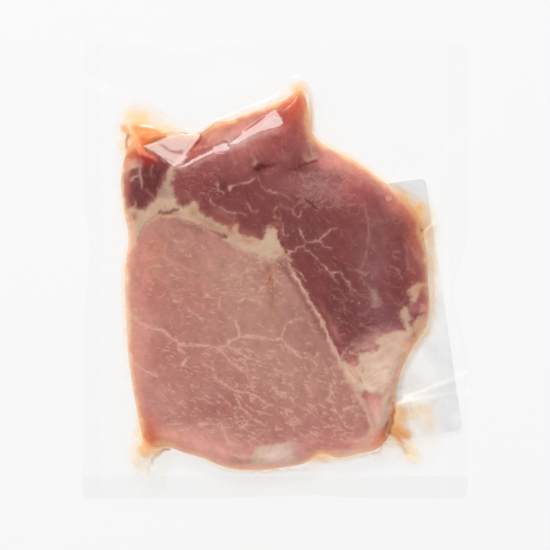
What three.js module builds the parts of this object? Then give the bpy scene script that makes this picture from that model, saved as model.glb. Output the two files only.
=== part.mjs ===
// A slice of raw pork loin sealed in a clear vacuum pouch, lying on its back film, with a paper
// label stuck under its right half. Millimetres, +Z up, +Y towards the pouch's top edge.
// The origin is on the table, under the middle of the pouch.
//
// The pouch is drawn down hard on the meat, so it is one solid: a raised body with the slice's own
// outline, a sloping fringe where the two films close in beyond the meat, and a thin flat margin of
// doubled film. Its heights are functions of x and y, sampled on rings that run from the middle of
// the meat out to the pouch's border.

import * as THREE from "three";

// Sizes of the pouch
const POUCH_WIDTH = 169;
const POUCH_HEIGHT = 201;
const CORNER_RADIUS = 3;
const MARGIN_THICKNESS = 0.6; // the doubled film of the margin
const CREASE_HEIGHT = 3; // of the margin's underside where the two films meet beside the meat
const BORDER_HEIGHT = 1.4; // of the margin's underside at the pouch's border
const DROOP_LENGTH = 22; // over which the margin sinks from the crease to the border's height
const WAVE_HEIGHT = 0.7; // of the margin's slow waves
const WAVE_ACROSS = 82; // length of one wave across the pouch
const WAVE_ALONG = 107; // and along it
const WAVE_START = 0.6; // phase of the waves across, in radians

// Sizes of the slice under the film
const SLICE_THICKNESS = 11;
const TOP_ROUNDING = 6; // how far inside the slice's outline its top reaches full height
const BOTTOM_ROUNDING = 4; // how far inside the outline its underside is flat on the table
const FRINGE = 2.6; // from the slice's outline to the crease where the films meet
const SHOULDER_CURVE = 2.2; // how soon the slope rounds over: 1 is straight, more is rounder
const SLICE_MIDDLE = new THREE.Vector2(0, -10);

// The slice's outline, anticlockwise from its peak
const SLICE_OUTLINE = [
  [10.5, 79],
  [3, 74],
  [-12, 69],
  [-26, 64],
  [-35, 59.5],
  [-47, 60.5],
  [-60, 60.5],
  [-66, 55],
  [-68, 40],
  [-64.5, 17],
  [-66.5, -4],
  [-65, -29],
  [-61, -59],
  [-58, -76],
  [-54, -79.5],
  [-45, -78.5],
  [-30, -83.5],
  [-18, -87.5],
  [0, -87.5],
  [13, -85],
  [21, -81.3],
  [28, -83],
  [44, -78.5],
  [50.5, -71.5],
  [52.5, -58],
  [56, -43],
  [65, -29.5],
  [68, -18],
  [67, 2],
  [64.5, 19],
  [56, 32],
  [41, 44.5],
  [23, 54],
  [16.5, 60],
  [14.5, 72],
];

// Pockets of juice that hold the fringe further out: direction from the slice's middle and
// half-width in degrees, and extra width
const POCKETS = [
  { name: "top left corner", towards: 129, halfWidth: 6.5, extra: 12 },
  { name: "peak", towards: 84, halfWidth: 4, extra: 3.5 },
  { name: "upper right", towards: 28, halfWidth: 10, extra: 3.5 },
  { name: "bottom right corner", towards: -49, halfWidth: 5, extra: 9 },
  { name: "bottom", towards: -75, halfWidth: 5, extra: 1.5 },
  { name: "bottom left corner", towards: -129, halfWidth: 4, extra: 7 },
];

// Stretches of the slice's edge that taper, so that its top takes longer to reach full height:
// direction and half-width in degrees, and extra rounding
const THIN_EDGES = [
  { name: "flap's outer edge", towards: 118, halfWidth: 16, extra: 10 },
  { name: "dark muscle's upper edge", towards: 40, halfWidth: 16, extra: 3 },
];

// Swells and hollows of the slice's top face: place, height and radius
const SWELLS = [
  { name: "folded flap", at: [-8, 60], height: 1.2, radius: 17 },
  { name: "dimple under the flap", at: [-6.5, 45], height: -2, radius: 5 },
  { name: "crease under the flap", at: [14, 46.5], height: -1.2, radius: 5 },
  { name: "dark muscle", at: [36, 8], height: 0.8, radius: 26 },
  { name: "loin eye", at: [-25, -25], height: -0.4, radius: 34 },
  { name: "fat corner", at: [47, -45], height: -1, radius: 11 },
  { name: "small muscle", at: [-58, 38], height: -0.8, radius: 11 },
  { name: "fat seam", at: [-44, 27], height: -0.8, radius: 8 },
];

// Folds that the vacuum drew into the margin: each starts at the slice and widens outwards.
// Reach is the ridge's half-width at its outer end.
const FOLDS = [
  { name: "right pleat", from: [53, -58.5], to: [86, -50], height: 2.6, reach: 5.4 },
  { name: "top left fan, long", from: [-35, 61], to: [-84, 92], height: 3.5, reach: 5.4 },
  { name: "top left fan, steep", from: [-35, 61], to: [-46, 99], height: 2.5, reach: 4.2 },
  { name: "bottom left", from: [-46, -79], to: [-62, -98], height: 2, reach: 3.6 },
  { name: "bottom right", from: [50, -73], to: [66, -97], height: 2, reach: 3.6 },
];
const FOLD_START = 0.3; // share of a fold's reach at its inner end

// Places where the vacuum drew the pouch's border in: side, place along it, depth and reach
const WAISTS = [
  { side: "right", at: -11, depth: 6, reach: 16 },
  { side: "left", at: 7, depth: 3, reach: 18 },
  { side: "top", at: -42, depth: 5.5, reach: 15 },
  { side: "bottom", at: 12, depth: 1.5, reach: 26 },
];

// The label
const LABEL_WIDTH = 72;
const LABEL_HEIGHT = 112;
const LABEL_CORNER = 2.2;
const LABEL_THICKNESS = 0.3;
const LABEL_MIDDLE = new THREE.Vector2(38.7, -20.3);
const LABEL_TURN = THREE.MathUtils.degToRad(8.4);
const LABEL_RECESS = 0.8; // how far the pouch stands off the table or margin over the label
const RECESS_FLAT = 7; // how far that recess reaches past the label before it closes
const RECESS_SLOPE = 11;

// How finely the surfaces are divided
const COLUMNS = 144;
const OUTLINE_STEPS = 280;
const BODY_RINGS = [0.16, 0.34, 0.52, 0.7, 0.86]; // share of the way out to full height
const SHOULDER_RINGS = [1, 0.8, 0.6, 0.42, 0.26, 0.12, 0]; // share of the slope, down to the crease
const MARGIN_RINGS = [0.14, 0.34, 0.56, 0.78, 1]; // share of the way from the crease to the border
const BISECTIONS = 26;
const NEARLY = 1e-6;
const LABEL_COLUMNS = 20;
const LABEL_ROWS = 32;
const LABEL_CORNER_STEPS = 3;

const { clamp, smoothstep, degToRad } = THREE.MathUtils;
const bell = (distance, reach) => Math.exp(-((distance / reach) ** 2));

// The slice's outline as a closed polygon, smoothed through the points above.
const outline = new THREE.CatmullRomCurve3(
  SLICE_OUTLINE.map(([x, y]) => new THREE.Vector3(x, y, 0)),
  true,
  "centripetal",
)
  .getPoints(OUTLINE_STEPS)
  .slice(0, OUTLINE_STEPS);

// Distance from a point to the slice's outline, positive inside the slice.
function depthInSlice(x, y) {
  let nearest = Infinity;
  let inside = false;
  outline.forEach((a, i) => {
    const b = outline[(i + 1) % OUTLINE_STEPS];
    const along = clamp(
      ((x - a.x) * (b.x - a.x) + (y - a.y) * (b.y - a.y)) / ((b.x - a.x) ** 2 + (b.y - a.y) ** 2),
      0,
      1,
    );
    nearest = Math.min(
      nearest,
      Math.hypot(x - a.x - along * (b.x - a.x), y - a.y - along * (b.y - a.y)),
    );
    if (a.y > y !== b.y > y && x < a.x + ((y - a.y) * (b.x - a.x)) / (b.y - a.y)) inside = !inside;
  });
  return inside ? nearest : -nearest;
}

// A plain width plus what a list adds to it in the direction of a point from the slice's middle.
function widthTowards(x, y, plain, lobes) {
  const towards = Math.atan2(y - SLICE_MIDDLE.y, x - SLICE_MIDDLE.x);
  return lobes.reduce((width, lobe) => {
    const off = towards - degToRad(lobe.towards);
    const turned = Math.atan2(Math.sin(off), Math.cos(off));
    return width + lobe.extra * bell(turned, degToRad(lobe.halfWidth));
  }, plain);
}

// Width of the fringe between the slice's outline and the crease.
const fringeWidth = (x, y) => widthTowards(x, y, FRINGE, POCKETS);

// How far inside the outline the slice's top reaches full height.
const topRounding = (x, y) => widthTowards(x, y, TOP_ROUNDING, THIN_EDGES);

// Share of the slope climbed at a point: 0 at the crease, 1 where the given rounding ends.
function climbed(x, y, rounding) {
  const width = fringeWidth(x, y);
  return clamp((depthInSlice(x, y) + width) / (width + rounding), 0, 1);
}

// Height that one fold adds to the margin: a rounded ridge that grows and widens along the fold.
function foldHeight(fold, x, y) {
  const run = new THREE.Vector2(fold.to[0] - fold.from[0], fold.to[1] - fold.from[1]);
  const length = run.length();
  const way = new THREE.Vector2(x - fold.from[0], y - fold.from[1]);
  const along = way.dot(run) / length ** 2;
  const across = Math.abs(way.cross(run)) / length;
  if (along <= 0) return 0;
  const grown = Math.min(along, 1);
  return fold.height * grown * bell(across, fold.reach * (FOLD_START + (1 - FOLD_START) * grown));
}

// Underside of the flat margin: it sinks away from the crease, and waves and folds lift it.
function marginHeight(x, y) {
  const outside = Math.max(0, -(depthInSlice(x, y) + fringeWidth(x, y)));
  const sunk = smoothstep(outside, 0, DROOP_LENGTH);
  const across = Math.sin((2 * Math.PI * x) / WAVE_ACROSS + WAVE_START);
  const along = Math.cos((2 * Math.PI * y) / WAVE_ALONG);
  const waves = WAVE_HEIGHT * across * along * sunk;
  const folds = FOLDS.reduce((sum, fold) => sum + foldHeight(fold, x, y), 0);
  return CREASE_HEIGHT + (BORDER_HEIGHT - CREASE_HEIGHT) * sunk + waves + folds;
}

// How far a point lies outside the label's rectangle, 0 on the label.
function outsideLabel(x, y) {
  const place = new THREE.Vector2(x, y).sub(LABEL_MIDDLE).rotateAround(new THREE.Vector2(), -LABEL_TURN);
  return Math.hypot(
    Math.max(0, Math.abs(place.x) - LABEL_WIDTH / 2),
    Math.max(0, Math.abs(place.y) - LABEL_HEIGHT / 2),
  );
}

// The surface that carries pouch and label: the table under the slice, rising to the margin.
function restHeight(x, y) {
  return marginHeight(x, y) * (1 - climbed(x, y, BOTTOM_ROUNDING)) ** 2;
}

function pouchUnderside(x, y) {
  const overLabel = 1 - smoothstep(outsideLabel(x, y), RECESS_FLAT, RECESS_FLAT + RECESS_SLOPE);
  return restHeight(x, y) + LABEL_RECESS * overLabel;
}

function sliceTop(x, y) {
  return SWELLS.reduce(
    (height, swell) =>
      height + swell.height * bell(Math.hypot(x - swell.at[0], y - swell.at[1]), swell.radius),
    SLICE_THICKNESS,
  );
}

// Top of the pouch: the margin, and from the crease a steep slope that rounds over onto the slice.
function pouchTop(x, y) {
  const margin = pouchUnderside(x, y) + MARGIN_THICKNESS;
  const slope = 1 - (1 - climbed(x, y, topRounding(x, y))) ** SHOULDER_CURVE;
  return margin + Math.max(0, sliceTop(x, y) - margin) * slope;
}

// The border's distance from the pouch's centre line on each side, with its waists.
function halfSize(side, place) {
  const nominal = side === "left" || side === "right" ? POUCH_WIDTH / 2 : POUCH_HEIGHT / 2;
  return WAISTS.filter((waist) => waist.side === side).reduce(
    (size, waist) => size - waist.depth * bell(place - waist.at, waist.reach),
    nominal,
  );
}

// True where a point lies inside the pouch's border, a rectangle with waists and round corners.
function insideBorder(x, y) {
  const across = halfSize(x < 0 ? "left" : "right", y) - Math.abs(x);
  const along = halfSize(y < 0 ? "bottom" : "top", x) - Math.abs(y);
  if (across < 0 || along < 0) return false;
  const cut = Math.hypot(Math.max(0, CORNER_RADIUS - across), Math.max(0, CORNER_RADIUS - along));
  return cut <= CORNER_RADIUS;
}

// The furthest point of a ray from the slice's middle that still satisfies a test.
function reachOf(direction, holds) {
  let near = 0;
  let far = POUCH_WIDTH;
  for (let i = 0; i < BISECTIONS; i++) {
    const middle = (near + far) / 2;
    const point = direction.clone().multiplyScalar(middle).add(SLICE_MIDDLE);
    if (holds(point.x, point.y)) near = middle;
    else far = middle;
  }
  return near;
}

// Directions of the grid's columns: evenly spaced marks along the border, with one at each corner.
function columnDirections() {
  const corners = [
    [1, -1],
    [1, 1],
    [-1, 1],
    [-1, -1],
  ].map(([x, y]) => new THREE.Vector2((x * POUCH_WIDTH) / 2, (y * POUCH_HEIGHT) / 2));
  const perimeter = 2 * (POUCH_WIDTH + POUCH_HEIGHT);
  return corners.flatMap((corner, i) => {
    const next = corners[(i + 1) % corners.length];
    const marks = Math.round((COLUMNS * corner.distanceTo(next)) / perimeter);
    return Array.from({ length: marks }, (_, k) =>
      corner
        .clone()
        .lerp(next, k / marks)
        .sub(SLICE_MIDDLE)
        .normalize(),
    );
  });
}

// The radii at which one ray crosses every ring, from the slice's middle out to the border.
function ringRadii(direction) {
  const shoulders = SHOULDER_RINGS.map((share) =>
    reachOf(
      direction,
      (x, y) => climbed(x, y, topRounding(x, y)) > share - (share === 1 ? NEARLY : 0),
    ),
  );
  const crease = shoulders[shoulders.length - 1];
  const border = reachOf(direction, insideBorder);
  return [
    ...BODY_RINGS.map((share) => share * shoulders[0]),
    ...shoulders,
    ...MARGIN_RINGS.map((share) => crease + share * (border - crease)),
  ];
}

// A closed solid from two height functions over the same rings: top, underside and border wall.
function ringSolid(directions, topOf, undersideOf) {
  const rays = directions.map((direction) =>
    ringRadii(direction).map((radius) => direction.clone().multiplyScalar(radius).add(SLICE_MIDDLE)),
  );
  const rings = rays[0].length;
  const flat = [SLICE_MIDDLE, ...rays.flat()];
  const position = [
    ...flat.flatMap((p) => [p.x, p.y, topOf(p.x, p.y)]),
    ...flat.flatMap((p) => [p.x, p.y, undersideOf(p.x, p.y)]),
  ];
  const underside = flat.length;
  const at = (column, ring) => 1 + (column % rays.length) * rings + ring;
  const index = [];
  const bothSides = (a, b, c) => index.push(a, b, c, underside + a, underside + c, underside + b);
  rays.forEach((_, column) => {
    bothSides(0, at(column, 0), at(column + 1, 0));
    for (let ring = 0; ring < rings - 1; ring++) {
      bothSides(at(column, ring), at(column, ring + 1), at(column + 1, ring + 1));
      bothSides(at(column, ring), at(column + 1, ring + 1), at(column + 1, ring));
    }
    const here = at(column, rings - 1);
    const next = at(column + 1, rings - 1);
    index.push(here, underside + here, underside + next, here, underside + next, next);
  });
  return solidGeometry(position, index);
}

function solidGeometry(position, index) {
  const geometry = new THREE.BufferGeometry();
  geometry.setAttribute("position", new THREE.Float32BufferAttribute(position, 3));
  geometry.setIndex(index);
  return geometry;
}

// How far the label's rounded end comes short of its full width at a distance from the end.
function cornerInset(fromEnd) {
  if (fromEnd >= LABEL_CORNER) return 0;
  return LABEL_CORNER - Math.sqrt(LABEL_CORNER ** 2 - (LABEL_CORNER - fromEnd) ** 2);
}

// The label's rows: close together round its corners and even between them.
function labelRows() {
  const corner = Array.from({ length: LABEL_CORNER_STEPS }, (_, i) =>
    LABEL_CORNER * (1 - Math.cos((Math.PI / 2) * (i / LABEL_CORNER_STEPS))),
  );
  const straight = LABEL_HEIGHT - 2 * LABEL_CORNER;
  const middle = Array.from(
    { length: LABEL_ROWS + 1 },
    (_, i) => LABEL_CORNER + (straight * i) / LABEL_ROWS,
  );
  return [...corner, ...middle, ...corner.map((y) => LABEL_HEIGHT - y).reverse()];
}

// The label: a thin sheet with round corners that follows the surface the pack rests on.
function labelGeometry() {
  const rows = labelRows();
  const width = LABEL_COLUMNS + 1;
  const flat = rows.flatMap((y) => {
    const half = LABEL_WIDTH / 2 - cornerInset(Math.min(y, LABEL_HEIGHT - y));
    return Array.from({ length: width }, (_, i) =>
      new THREE.Vector2(half * ((2 * i) / LABEL_COLUMNS - 1), y - LABEL_HEIGHT / 2)
        .rotateAround(new THREE.Vector2(), LABEL_TURN)
        .add(LABEL_MIDDLE),
    );
  });
  const position = [LABEL_THICKNESS, 0].flatMap((lift) =>
    flat.flatMap((p) => [p.x, p.y, restHeight(p.x, p.y) + lift]),
  );
  const underside = flat.length;
  const index = [];
  const bothSides = (a, b, c) => index.push(a, b, c, underside + a, underside + c, underside + b);
  const wall = (a, b) => index.push(a, underside + a, underside + b, a, underside + b, b);
  for (let row = 0; row < rows.length - 1; row++) {
    for (let i = 0; i < LABEL_COLUMNS; i++) {
      const a = row * width + i;
      bothSides(a, a + 1, a + width + 1);
      bothSides(a, a + width + 1, a + width);
    }
    wall((row + 1) * width, row * width);
    wall(row * width + LABEL_COLUMNS, (row + 1) * width + LABEL_COLUMNS);
  }
  for (let i = 0; i < LABEL_COLUMNS; i++) {
    wall(i, i + 1);
    wall((rows.length - 1) * width + i + 1, (rows.length - 1) * width + i);
  }
  return solidGeometry(position, index);
}

function namedMesh(name, geometry, material) {
  const mesh = new THREE.Mesh(geometry, new THREE.MeshStandardMaterial(material));
  mesh.geometry.computeVertexNormals();
  mesh.name = name;
  return mesh;
}

const pack = new THREE.Group();
pack.add(
  namedMesh("pouch", ringSolid(columnDirections(), pouchTop, pouchUnderside), {
    color: 0xb87a70,
    roughness: 0.25,
    metalness: 0,
  }),
  namedMesh("label", labelGeometry(), { color: 0xe6e5e3, roughness: 0.7, metalness: 0 }),
);

export default pack;
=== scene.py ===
# %% [markdown]
# # A vacuum-packed slice of pork loin
#
# The object is a slice of raw pork loin under two clear films that a vacuum has drawn together.
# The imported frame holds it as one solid, `pouch`, with a `label` stuck under it. This script
# replaces the pouch with what is really there: a sheet of film on each side, the slice between
# them, and the juice that has run to the slice's edge. Every shape is a height above the table,
# worked out from x and y in millimetres, so that film, meat, juice and label all fit each other.

import bpy
import numpy as np
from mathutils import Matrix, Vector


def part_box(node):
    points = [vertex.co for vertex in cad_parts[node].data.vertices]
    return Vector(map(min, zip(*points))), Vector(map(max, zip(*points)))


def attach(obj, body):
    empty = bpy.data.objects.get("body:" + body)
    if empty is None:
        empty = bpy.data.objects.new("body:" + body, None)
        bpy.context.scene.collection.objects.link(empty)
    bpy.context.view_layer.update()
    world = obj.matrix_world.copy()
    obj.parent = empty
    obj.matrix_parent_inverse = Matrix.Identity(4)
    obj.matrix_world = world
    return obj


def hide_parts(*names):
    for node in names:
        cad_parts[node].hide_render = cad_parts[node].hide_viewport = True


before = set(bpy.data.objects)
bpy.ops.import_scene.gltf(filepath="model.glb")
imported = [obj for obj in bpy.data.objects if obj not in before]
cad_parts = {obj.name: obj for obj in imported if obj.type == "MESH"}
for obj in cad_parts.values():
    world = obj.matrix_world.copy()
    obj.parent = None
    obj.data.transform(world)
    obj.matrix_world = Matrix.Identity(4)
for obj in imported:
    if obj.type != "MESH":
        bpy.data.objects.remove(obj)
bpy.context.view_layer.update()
MM = 0.001
POUCH_LOW, POUCH_HIGH = (np.array(corner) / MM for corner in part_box("pouch"))
HALF_WIDTH, HALF_HEIGHT = POUCH_HIGH[:2]
print("pouch in the frame, mm:", POUCH_LOW.round(1), POUCH_HIGH.round(1))

# %% [markdown]
# ## Where lamp and camera stand
#
# Clear film is seen only by what it mirrors, so the lamp's and the camera's places are settled
# before the film is shaped. A flat piece of film shows the lamp when it faces half way between
# the lamp and the camera.

# %% Lamp and camera
LAMP_DISTANCE = 1.2
LAMP_FROM_ZENITH = np.radians(44)
LAMP_LEAN = np.radians(-18)
LAMP_SIZE = (0.3, 0.16)
CAMERA_HEIGHT = 2.5
VIEW_MIDDLE = (0.0, -0.0022)
lamp_way = np.array([
    np.sin(LAMP_FROM_ZENITH) * np.sin(LAMP_LEAN),
    np.sin(LAMP_FROM_ZENITH) * np.cos(LAMP_LEAN),
    np.cos(LAMP_FROM_ZENITH),
])
lamp_at = LAMP_DISTANCE * lamp_way
camera_at = np.array([*VIEW_MIDDLE, CAMERA_HEIGHT])


def half_way(place, aim=0.0):
    """The unit vector half way between the directions to the lamp and to the camera.

    The aim is a place along the lamp, from -1 at its left end to 1 at its right end.
    """
    aimed_at = lamp_at + aim * LAMP_SIZE[0] / 2 * np.array([np.cos(LAMP_LEAN), -np.sin(LAMP_LEAN), 0])
    ways = [at - np.array(place) * MM for at in (aimed_at, camera_at)]
    total = sum(way / np.linalg.norm(way) for way in ways)
    return total / np.linalg.norm(total)


print("a facet that shines, at the middle:", half_way((0, 0, 10)).round(3))

# %% [markdown]
# ## Small tools for shapes
#
# The shapes below need four tools. A smooth step blends one region into the next. A bell is a
# soft bump. A closed curve runs smoothly through a few outline points. Slow noise is a sum of a
# few long waves in random directions, which is enough to make a surface look handmade and which
# stays the same on each run because its seed is fixed.


# %% Steps, bells, curves and noise
def step(value, low, high):
    """0 below low, 1 above high, and 3t^2 - 2t^3 between them."""
    t = np.clip((value - low) / (high - low), 0, 1)
    return t * t * (3 - 2 * t)


def bell(distance, reach):
    """e to the minus (distance / reach) squared: 1 in the middle, 0.37 at the reach."""
    return np.exp(-((distance / reach) ** 2))


def closed_curve(points, steps):
    """A closed Catmull-Rom curve: each span is the cubic that matches its ends' neighbours."""
    p = np.asarray(points, float)
    t = np.linspace(0, 1, steps, endpoint=False)[None, :, None]
    a, b, c, d = (np.roll(p, shift, axis=0)[:, None, :] for shift in (1, 0, -1, -2))
    curve = 2 * b + (c - a) * t + (2 * a - 5 * b + 4 * c - d) * t**2 + (3 * b - a - 3 * c + d) * t**3
    return (curve / 2).reshape(-1, 2)


def slow_noise(x, y, wavelength, seed, waves=9):
    """The mean of a few sine waves of about one wavelength, each in its own direction."""
    draw = np.random.default_rng(seed)
    total = np.zeros_like(x)
    for turn, phase, stretch in draw.uniform(0, 1, (waves, 3)):
        length = wavelength * (0.7 + 0.9 * stretch)
        way = x * np.cos(2 * np.pi * turn) + y * np.sin(2 * np.pi * turn)
        total += np.sin(2 * np.pi * (way / length + phase))
    return total / np.sqrt(waves)


def nearby(x, y, shape, pad):
    """Indices of the places inside a shape's own box with a pad round it."""
    low, high = np.min(shape, axis=0) - pad, np.max(shape, axis=0) + pad
    return np.flatnonzero((x > low[0]) & (x < high[0]) & (y > low[1]) & (y < high[1]))


def depth_inside(x, y, corners):
    """Distance to the nearest side of a closed polygon, positive inside it."""
    a = np.asarray(corners, float)
    side = np.roll(a, -1, axis=0) - a
    place = np.stack([np.ravel(x), np.ravel(y)], axis=1)
    depth = np.empty(len(place))
    for part in np.array_split(np.arange(len(place)), 1 + len(place) * len(a) // 3_000_000):
        way = place[part, None, :] - a
        along = np.clip((way * side).sum(-1) / (side**2).sum(-1), 0, 1)
        nearest = np.linalg.norm(way - along[..., None] * side, axis=-1).min(axis=1)
        above = way[..., 1] < 0
        crossing = above != (way[..., 1] < side[:, 1])
        left = (way[..., 0] * side[:, 1] - way[..., 1] * side[:, 0]) * np.sign(side[:, 1]) < 0
        inside = (crossing & left).sum(axis=1) % 2 == 1
        depth[part] = np.where(inside, nearest, -nearest)
    return depth.reshape(np.shape(x))


# %% [markdown]
# ## The slice's outline
#
# A loin slice is not a neat shape: the eye muscle fills the lower left, a darker muscle lies over
# its right side, and a flap runs up to a peak. Its outline is a closed curve through listed points,
# in millimetres from the middle of the pouch. Everything else is measured from it: how deep inside
# the slice a point lies, and how far the films reach beyond it.

# %% Outline and fringe
SLICE_OUTLINE = [
    (10.5, 79), (3, 74), (-12, 68.7), (-20, 65.5), (-26, 64), (-35, 59.5), (-47, 60), (-54, 60.3),
    (-60, 58.5), (-65, 52.5), (-67.8, 40), (-66.5, 27), (-64.3, 14), (-66, 0), (-65.5, -20),
    (-64.2, -40), (-61, -60), (-58.6, -72), (-57, -78), (-53, -79), (-47, -77.8), (-40, -80.3),
    (-32, -82.5), (-25, -85.5), (-18, -87.5), (-8, -88), (2, -87), (13, -85), (19, -81.2),
    (23, -81.2), (28, -82.7), (36, -81), (42, -79.7), (45.6, -78.2), (48.2, -75.8), (50.1, -72.8),
    (52, -68), (53, -60), (53.6, -52),
    (56, -43), (62, -32), (66.5, -25), (68, -17), (67.4, -6), (67, 5), (65.4, 15), (64, 23),
    (57, 31), (47, 39.5), (35, 48), (24, 53.5), (18, 58), (15.4, 63), (14.6, 70), (13.3, 76),
]
SLICE_MIDDLE = np.array([0.0, -10.0])
OUTLINE_STEPS = 6
FRINGE = 2.6
# Direction from the slice's middle, half-width in degrees and extra reach of each juice pocket
POCKETS = {
    "top left corner": (129, 6.5, 12),
    "peak": (84, 4, 3.5),
    "upper right": (28, 10, 3.5),
    "bottom right corner": (-49, 5, 9),
    "bottom": (-75, 5, 1.5),
    "bottom left corner": (-129, 4, 7),
}
TOP_ROUNDING = 6
# Direction, half-width and extra rounding where the slice thins out slowly towards its edge
THIN_EDGES = {
    "top left edge": (118, 16, 10),
    "upper right edge": (40, 16, 3),
}
outline = closed_curve(SLICE_OUTLINE, OUTLINE_STEPS)


def around(x, y, plain, lobes):
    """A plain width plus a bell of extra width towards each lobe's direction."""
    towards = np.arctan2(y - SLICE_MIDDLE[1], x - SLICE_MIDDLE[0])
    width = np.full_like(x, float(plain))
    for direction, half_width, extra in lobes.values():
        off = towards - np.radians(direction)
        width += extra * bell(np.arctan2(np.sin(off), np.cos(off)), np.radians(half_width))
    return width


def reach_at(angles):
    """The outline's distance from the slice's middle in each direction."""
    ray = outline - SLICE_MIDDLE
    turn = np.arctan2(ray[:, 1], ray[:, 0])
    order = np.argsort(turn)
    return np.interp(angles, turn[order], np.hypot(*ray.T)[order], period=2 * np.pi)


print("slice across, mm:", np.ptp(outline, axis=0).round(1))

# %% [markdown]
# ## Heights of the films
#
# Seen from the side, the pack is a flat cushion. The back film lies on the table and rises at the
# slice's edge; the front film lies over the slice and comes down to meet it. Beyond that crease
# the two run out together as a thin margin, which is never quite flat: folds run out from the
# slice's corners, where the vacuum gathered the spare film. A fold is a cone with its tip at the
# slice, because a sheet that can't stretch can only bend along straight lines.

# %% Margin, folds and waists
CREASE_HEIGHT = 3.0
BORDER_HEIGHT = 1.4
DROOP_LENGTH = 22
FILM_THICKNESS = 0.25
WAVE_HEIGHT = 0.7
WAVE_ACROSS = 82
WAVE_ALONG = 107
WAVE_START = 0.6
# Each fold: its tip, the direction and half-width in degrees, and its rise for each mm it runs
FOLDS = {
    "right pleat upper": ((53, -58.5), 20.5, 3.2, 0.075),
    "right pleat lower": ((53, -58.5), 8, 2.6, 0.045),
    "top left low": ((-35, 60.5), 157, 5, 0.05),
    "top left middle": ((-35, 60.5), 146, 5.5, 0.06),
    "top left long": ((-35, 60.5), 134, 5, 0.055),
    "top left steep": ((-35, 60.5), 121, 5, 0.06),
    "top left upright": ((-35, 60.5), 107, 4.5, 0.05),
    "bottom left": ((-46, -78.5), -125, 7, 0.08),
    "bottom left low": ((-46, -78.5), -104, 6, 0.05),
    "bottom right": ((50, -72), -50, 7, 0.07),
    "bottom right low": ((50, -72), -72, 6, 0.05),
    "peak left": ((11, 79), 115, 6, 0.05),
    "peak right": ((11, 79), 60, 7, 0.05),
    "upper right": ((55, 33), 38, 7, 0.025),
    "left": ((-66, 12), 176, 9, 0.05),
}
# Side of the border, place along it, depth and reach of each place where it is drawn in
WAISTS = {
    "right": [(-11, 6, 16)],
    "left": [(7, 3, 18)],
    "top": [(-42, 5.5, 15)],
    "bottom": [(12, 1.5, 26)],
}
CORNER_RADIUS = 3


def half_size(side, place):
    """The border's distance from the pouch's middle line: the half size less its waists."""
    size = HALF_WIDTH if side in ("left", "right") else HALF_HEIGHT
    return size - sum(depth * bell(place - at, reach) for at, depth, reach in WAISTS[side])


def fold_heights(x, y):
    """Sum of cones: distance from the tip times rise, times a tent across the fold's angle."""
    total = np.zeros_like(x)
    for tip, direction, half_width, rise in FOLDS.values():
        along, across = x - tip[0], y - tip[1]
        off = np.arctan2(across, along) - np.radians(direction)
        off = np.abs(np.arctan2(np.sin(off), np.cos(off))) / np.radians(half_width)
        tent = np.clip(1 - np.sqrt(off**2 + 0.01), 0, 1)
        total += rise * np.minimum(np.hypot(along, across), 45) * tent
    return total


def margin_height(x, y, outside):
    """Underside of the margin without its folds: it sinks from the crease, with slow waves."""
    sunk = step(outside, 0, DROOP_LENGTH)
    waves = np.sin(2 * np.pi * x / WAVE_ACROSS + WAVE_START) * np.cos(2 * np.pi * y / WAVE_ALONG)
    ripples = 0.16 * slow_noise(x, y, 24, seed=11) + 0.05 * slow_noise(x, y, 9, seed=12)
    low = CREASE_HEIGHT + (BORDER_HEIGHT - CREASE_HEIGHT) * sunk
    return low + (WAVE_HEIGHT * waves + ripples) * sunk


# %% [markdown]
# ## Where the film catches the light
#
# A tight film shows itself only by its reflections, and they have hard edges, because a pulled
# film settles into flat facets. Each facet here is a small polygon on which the film is made
# truly flat and faces half way to the lamp.

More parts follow.
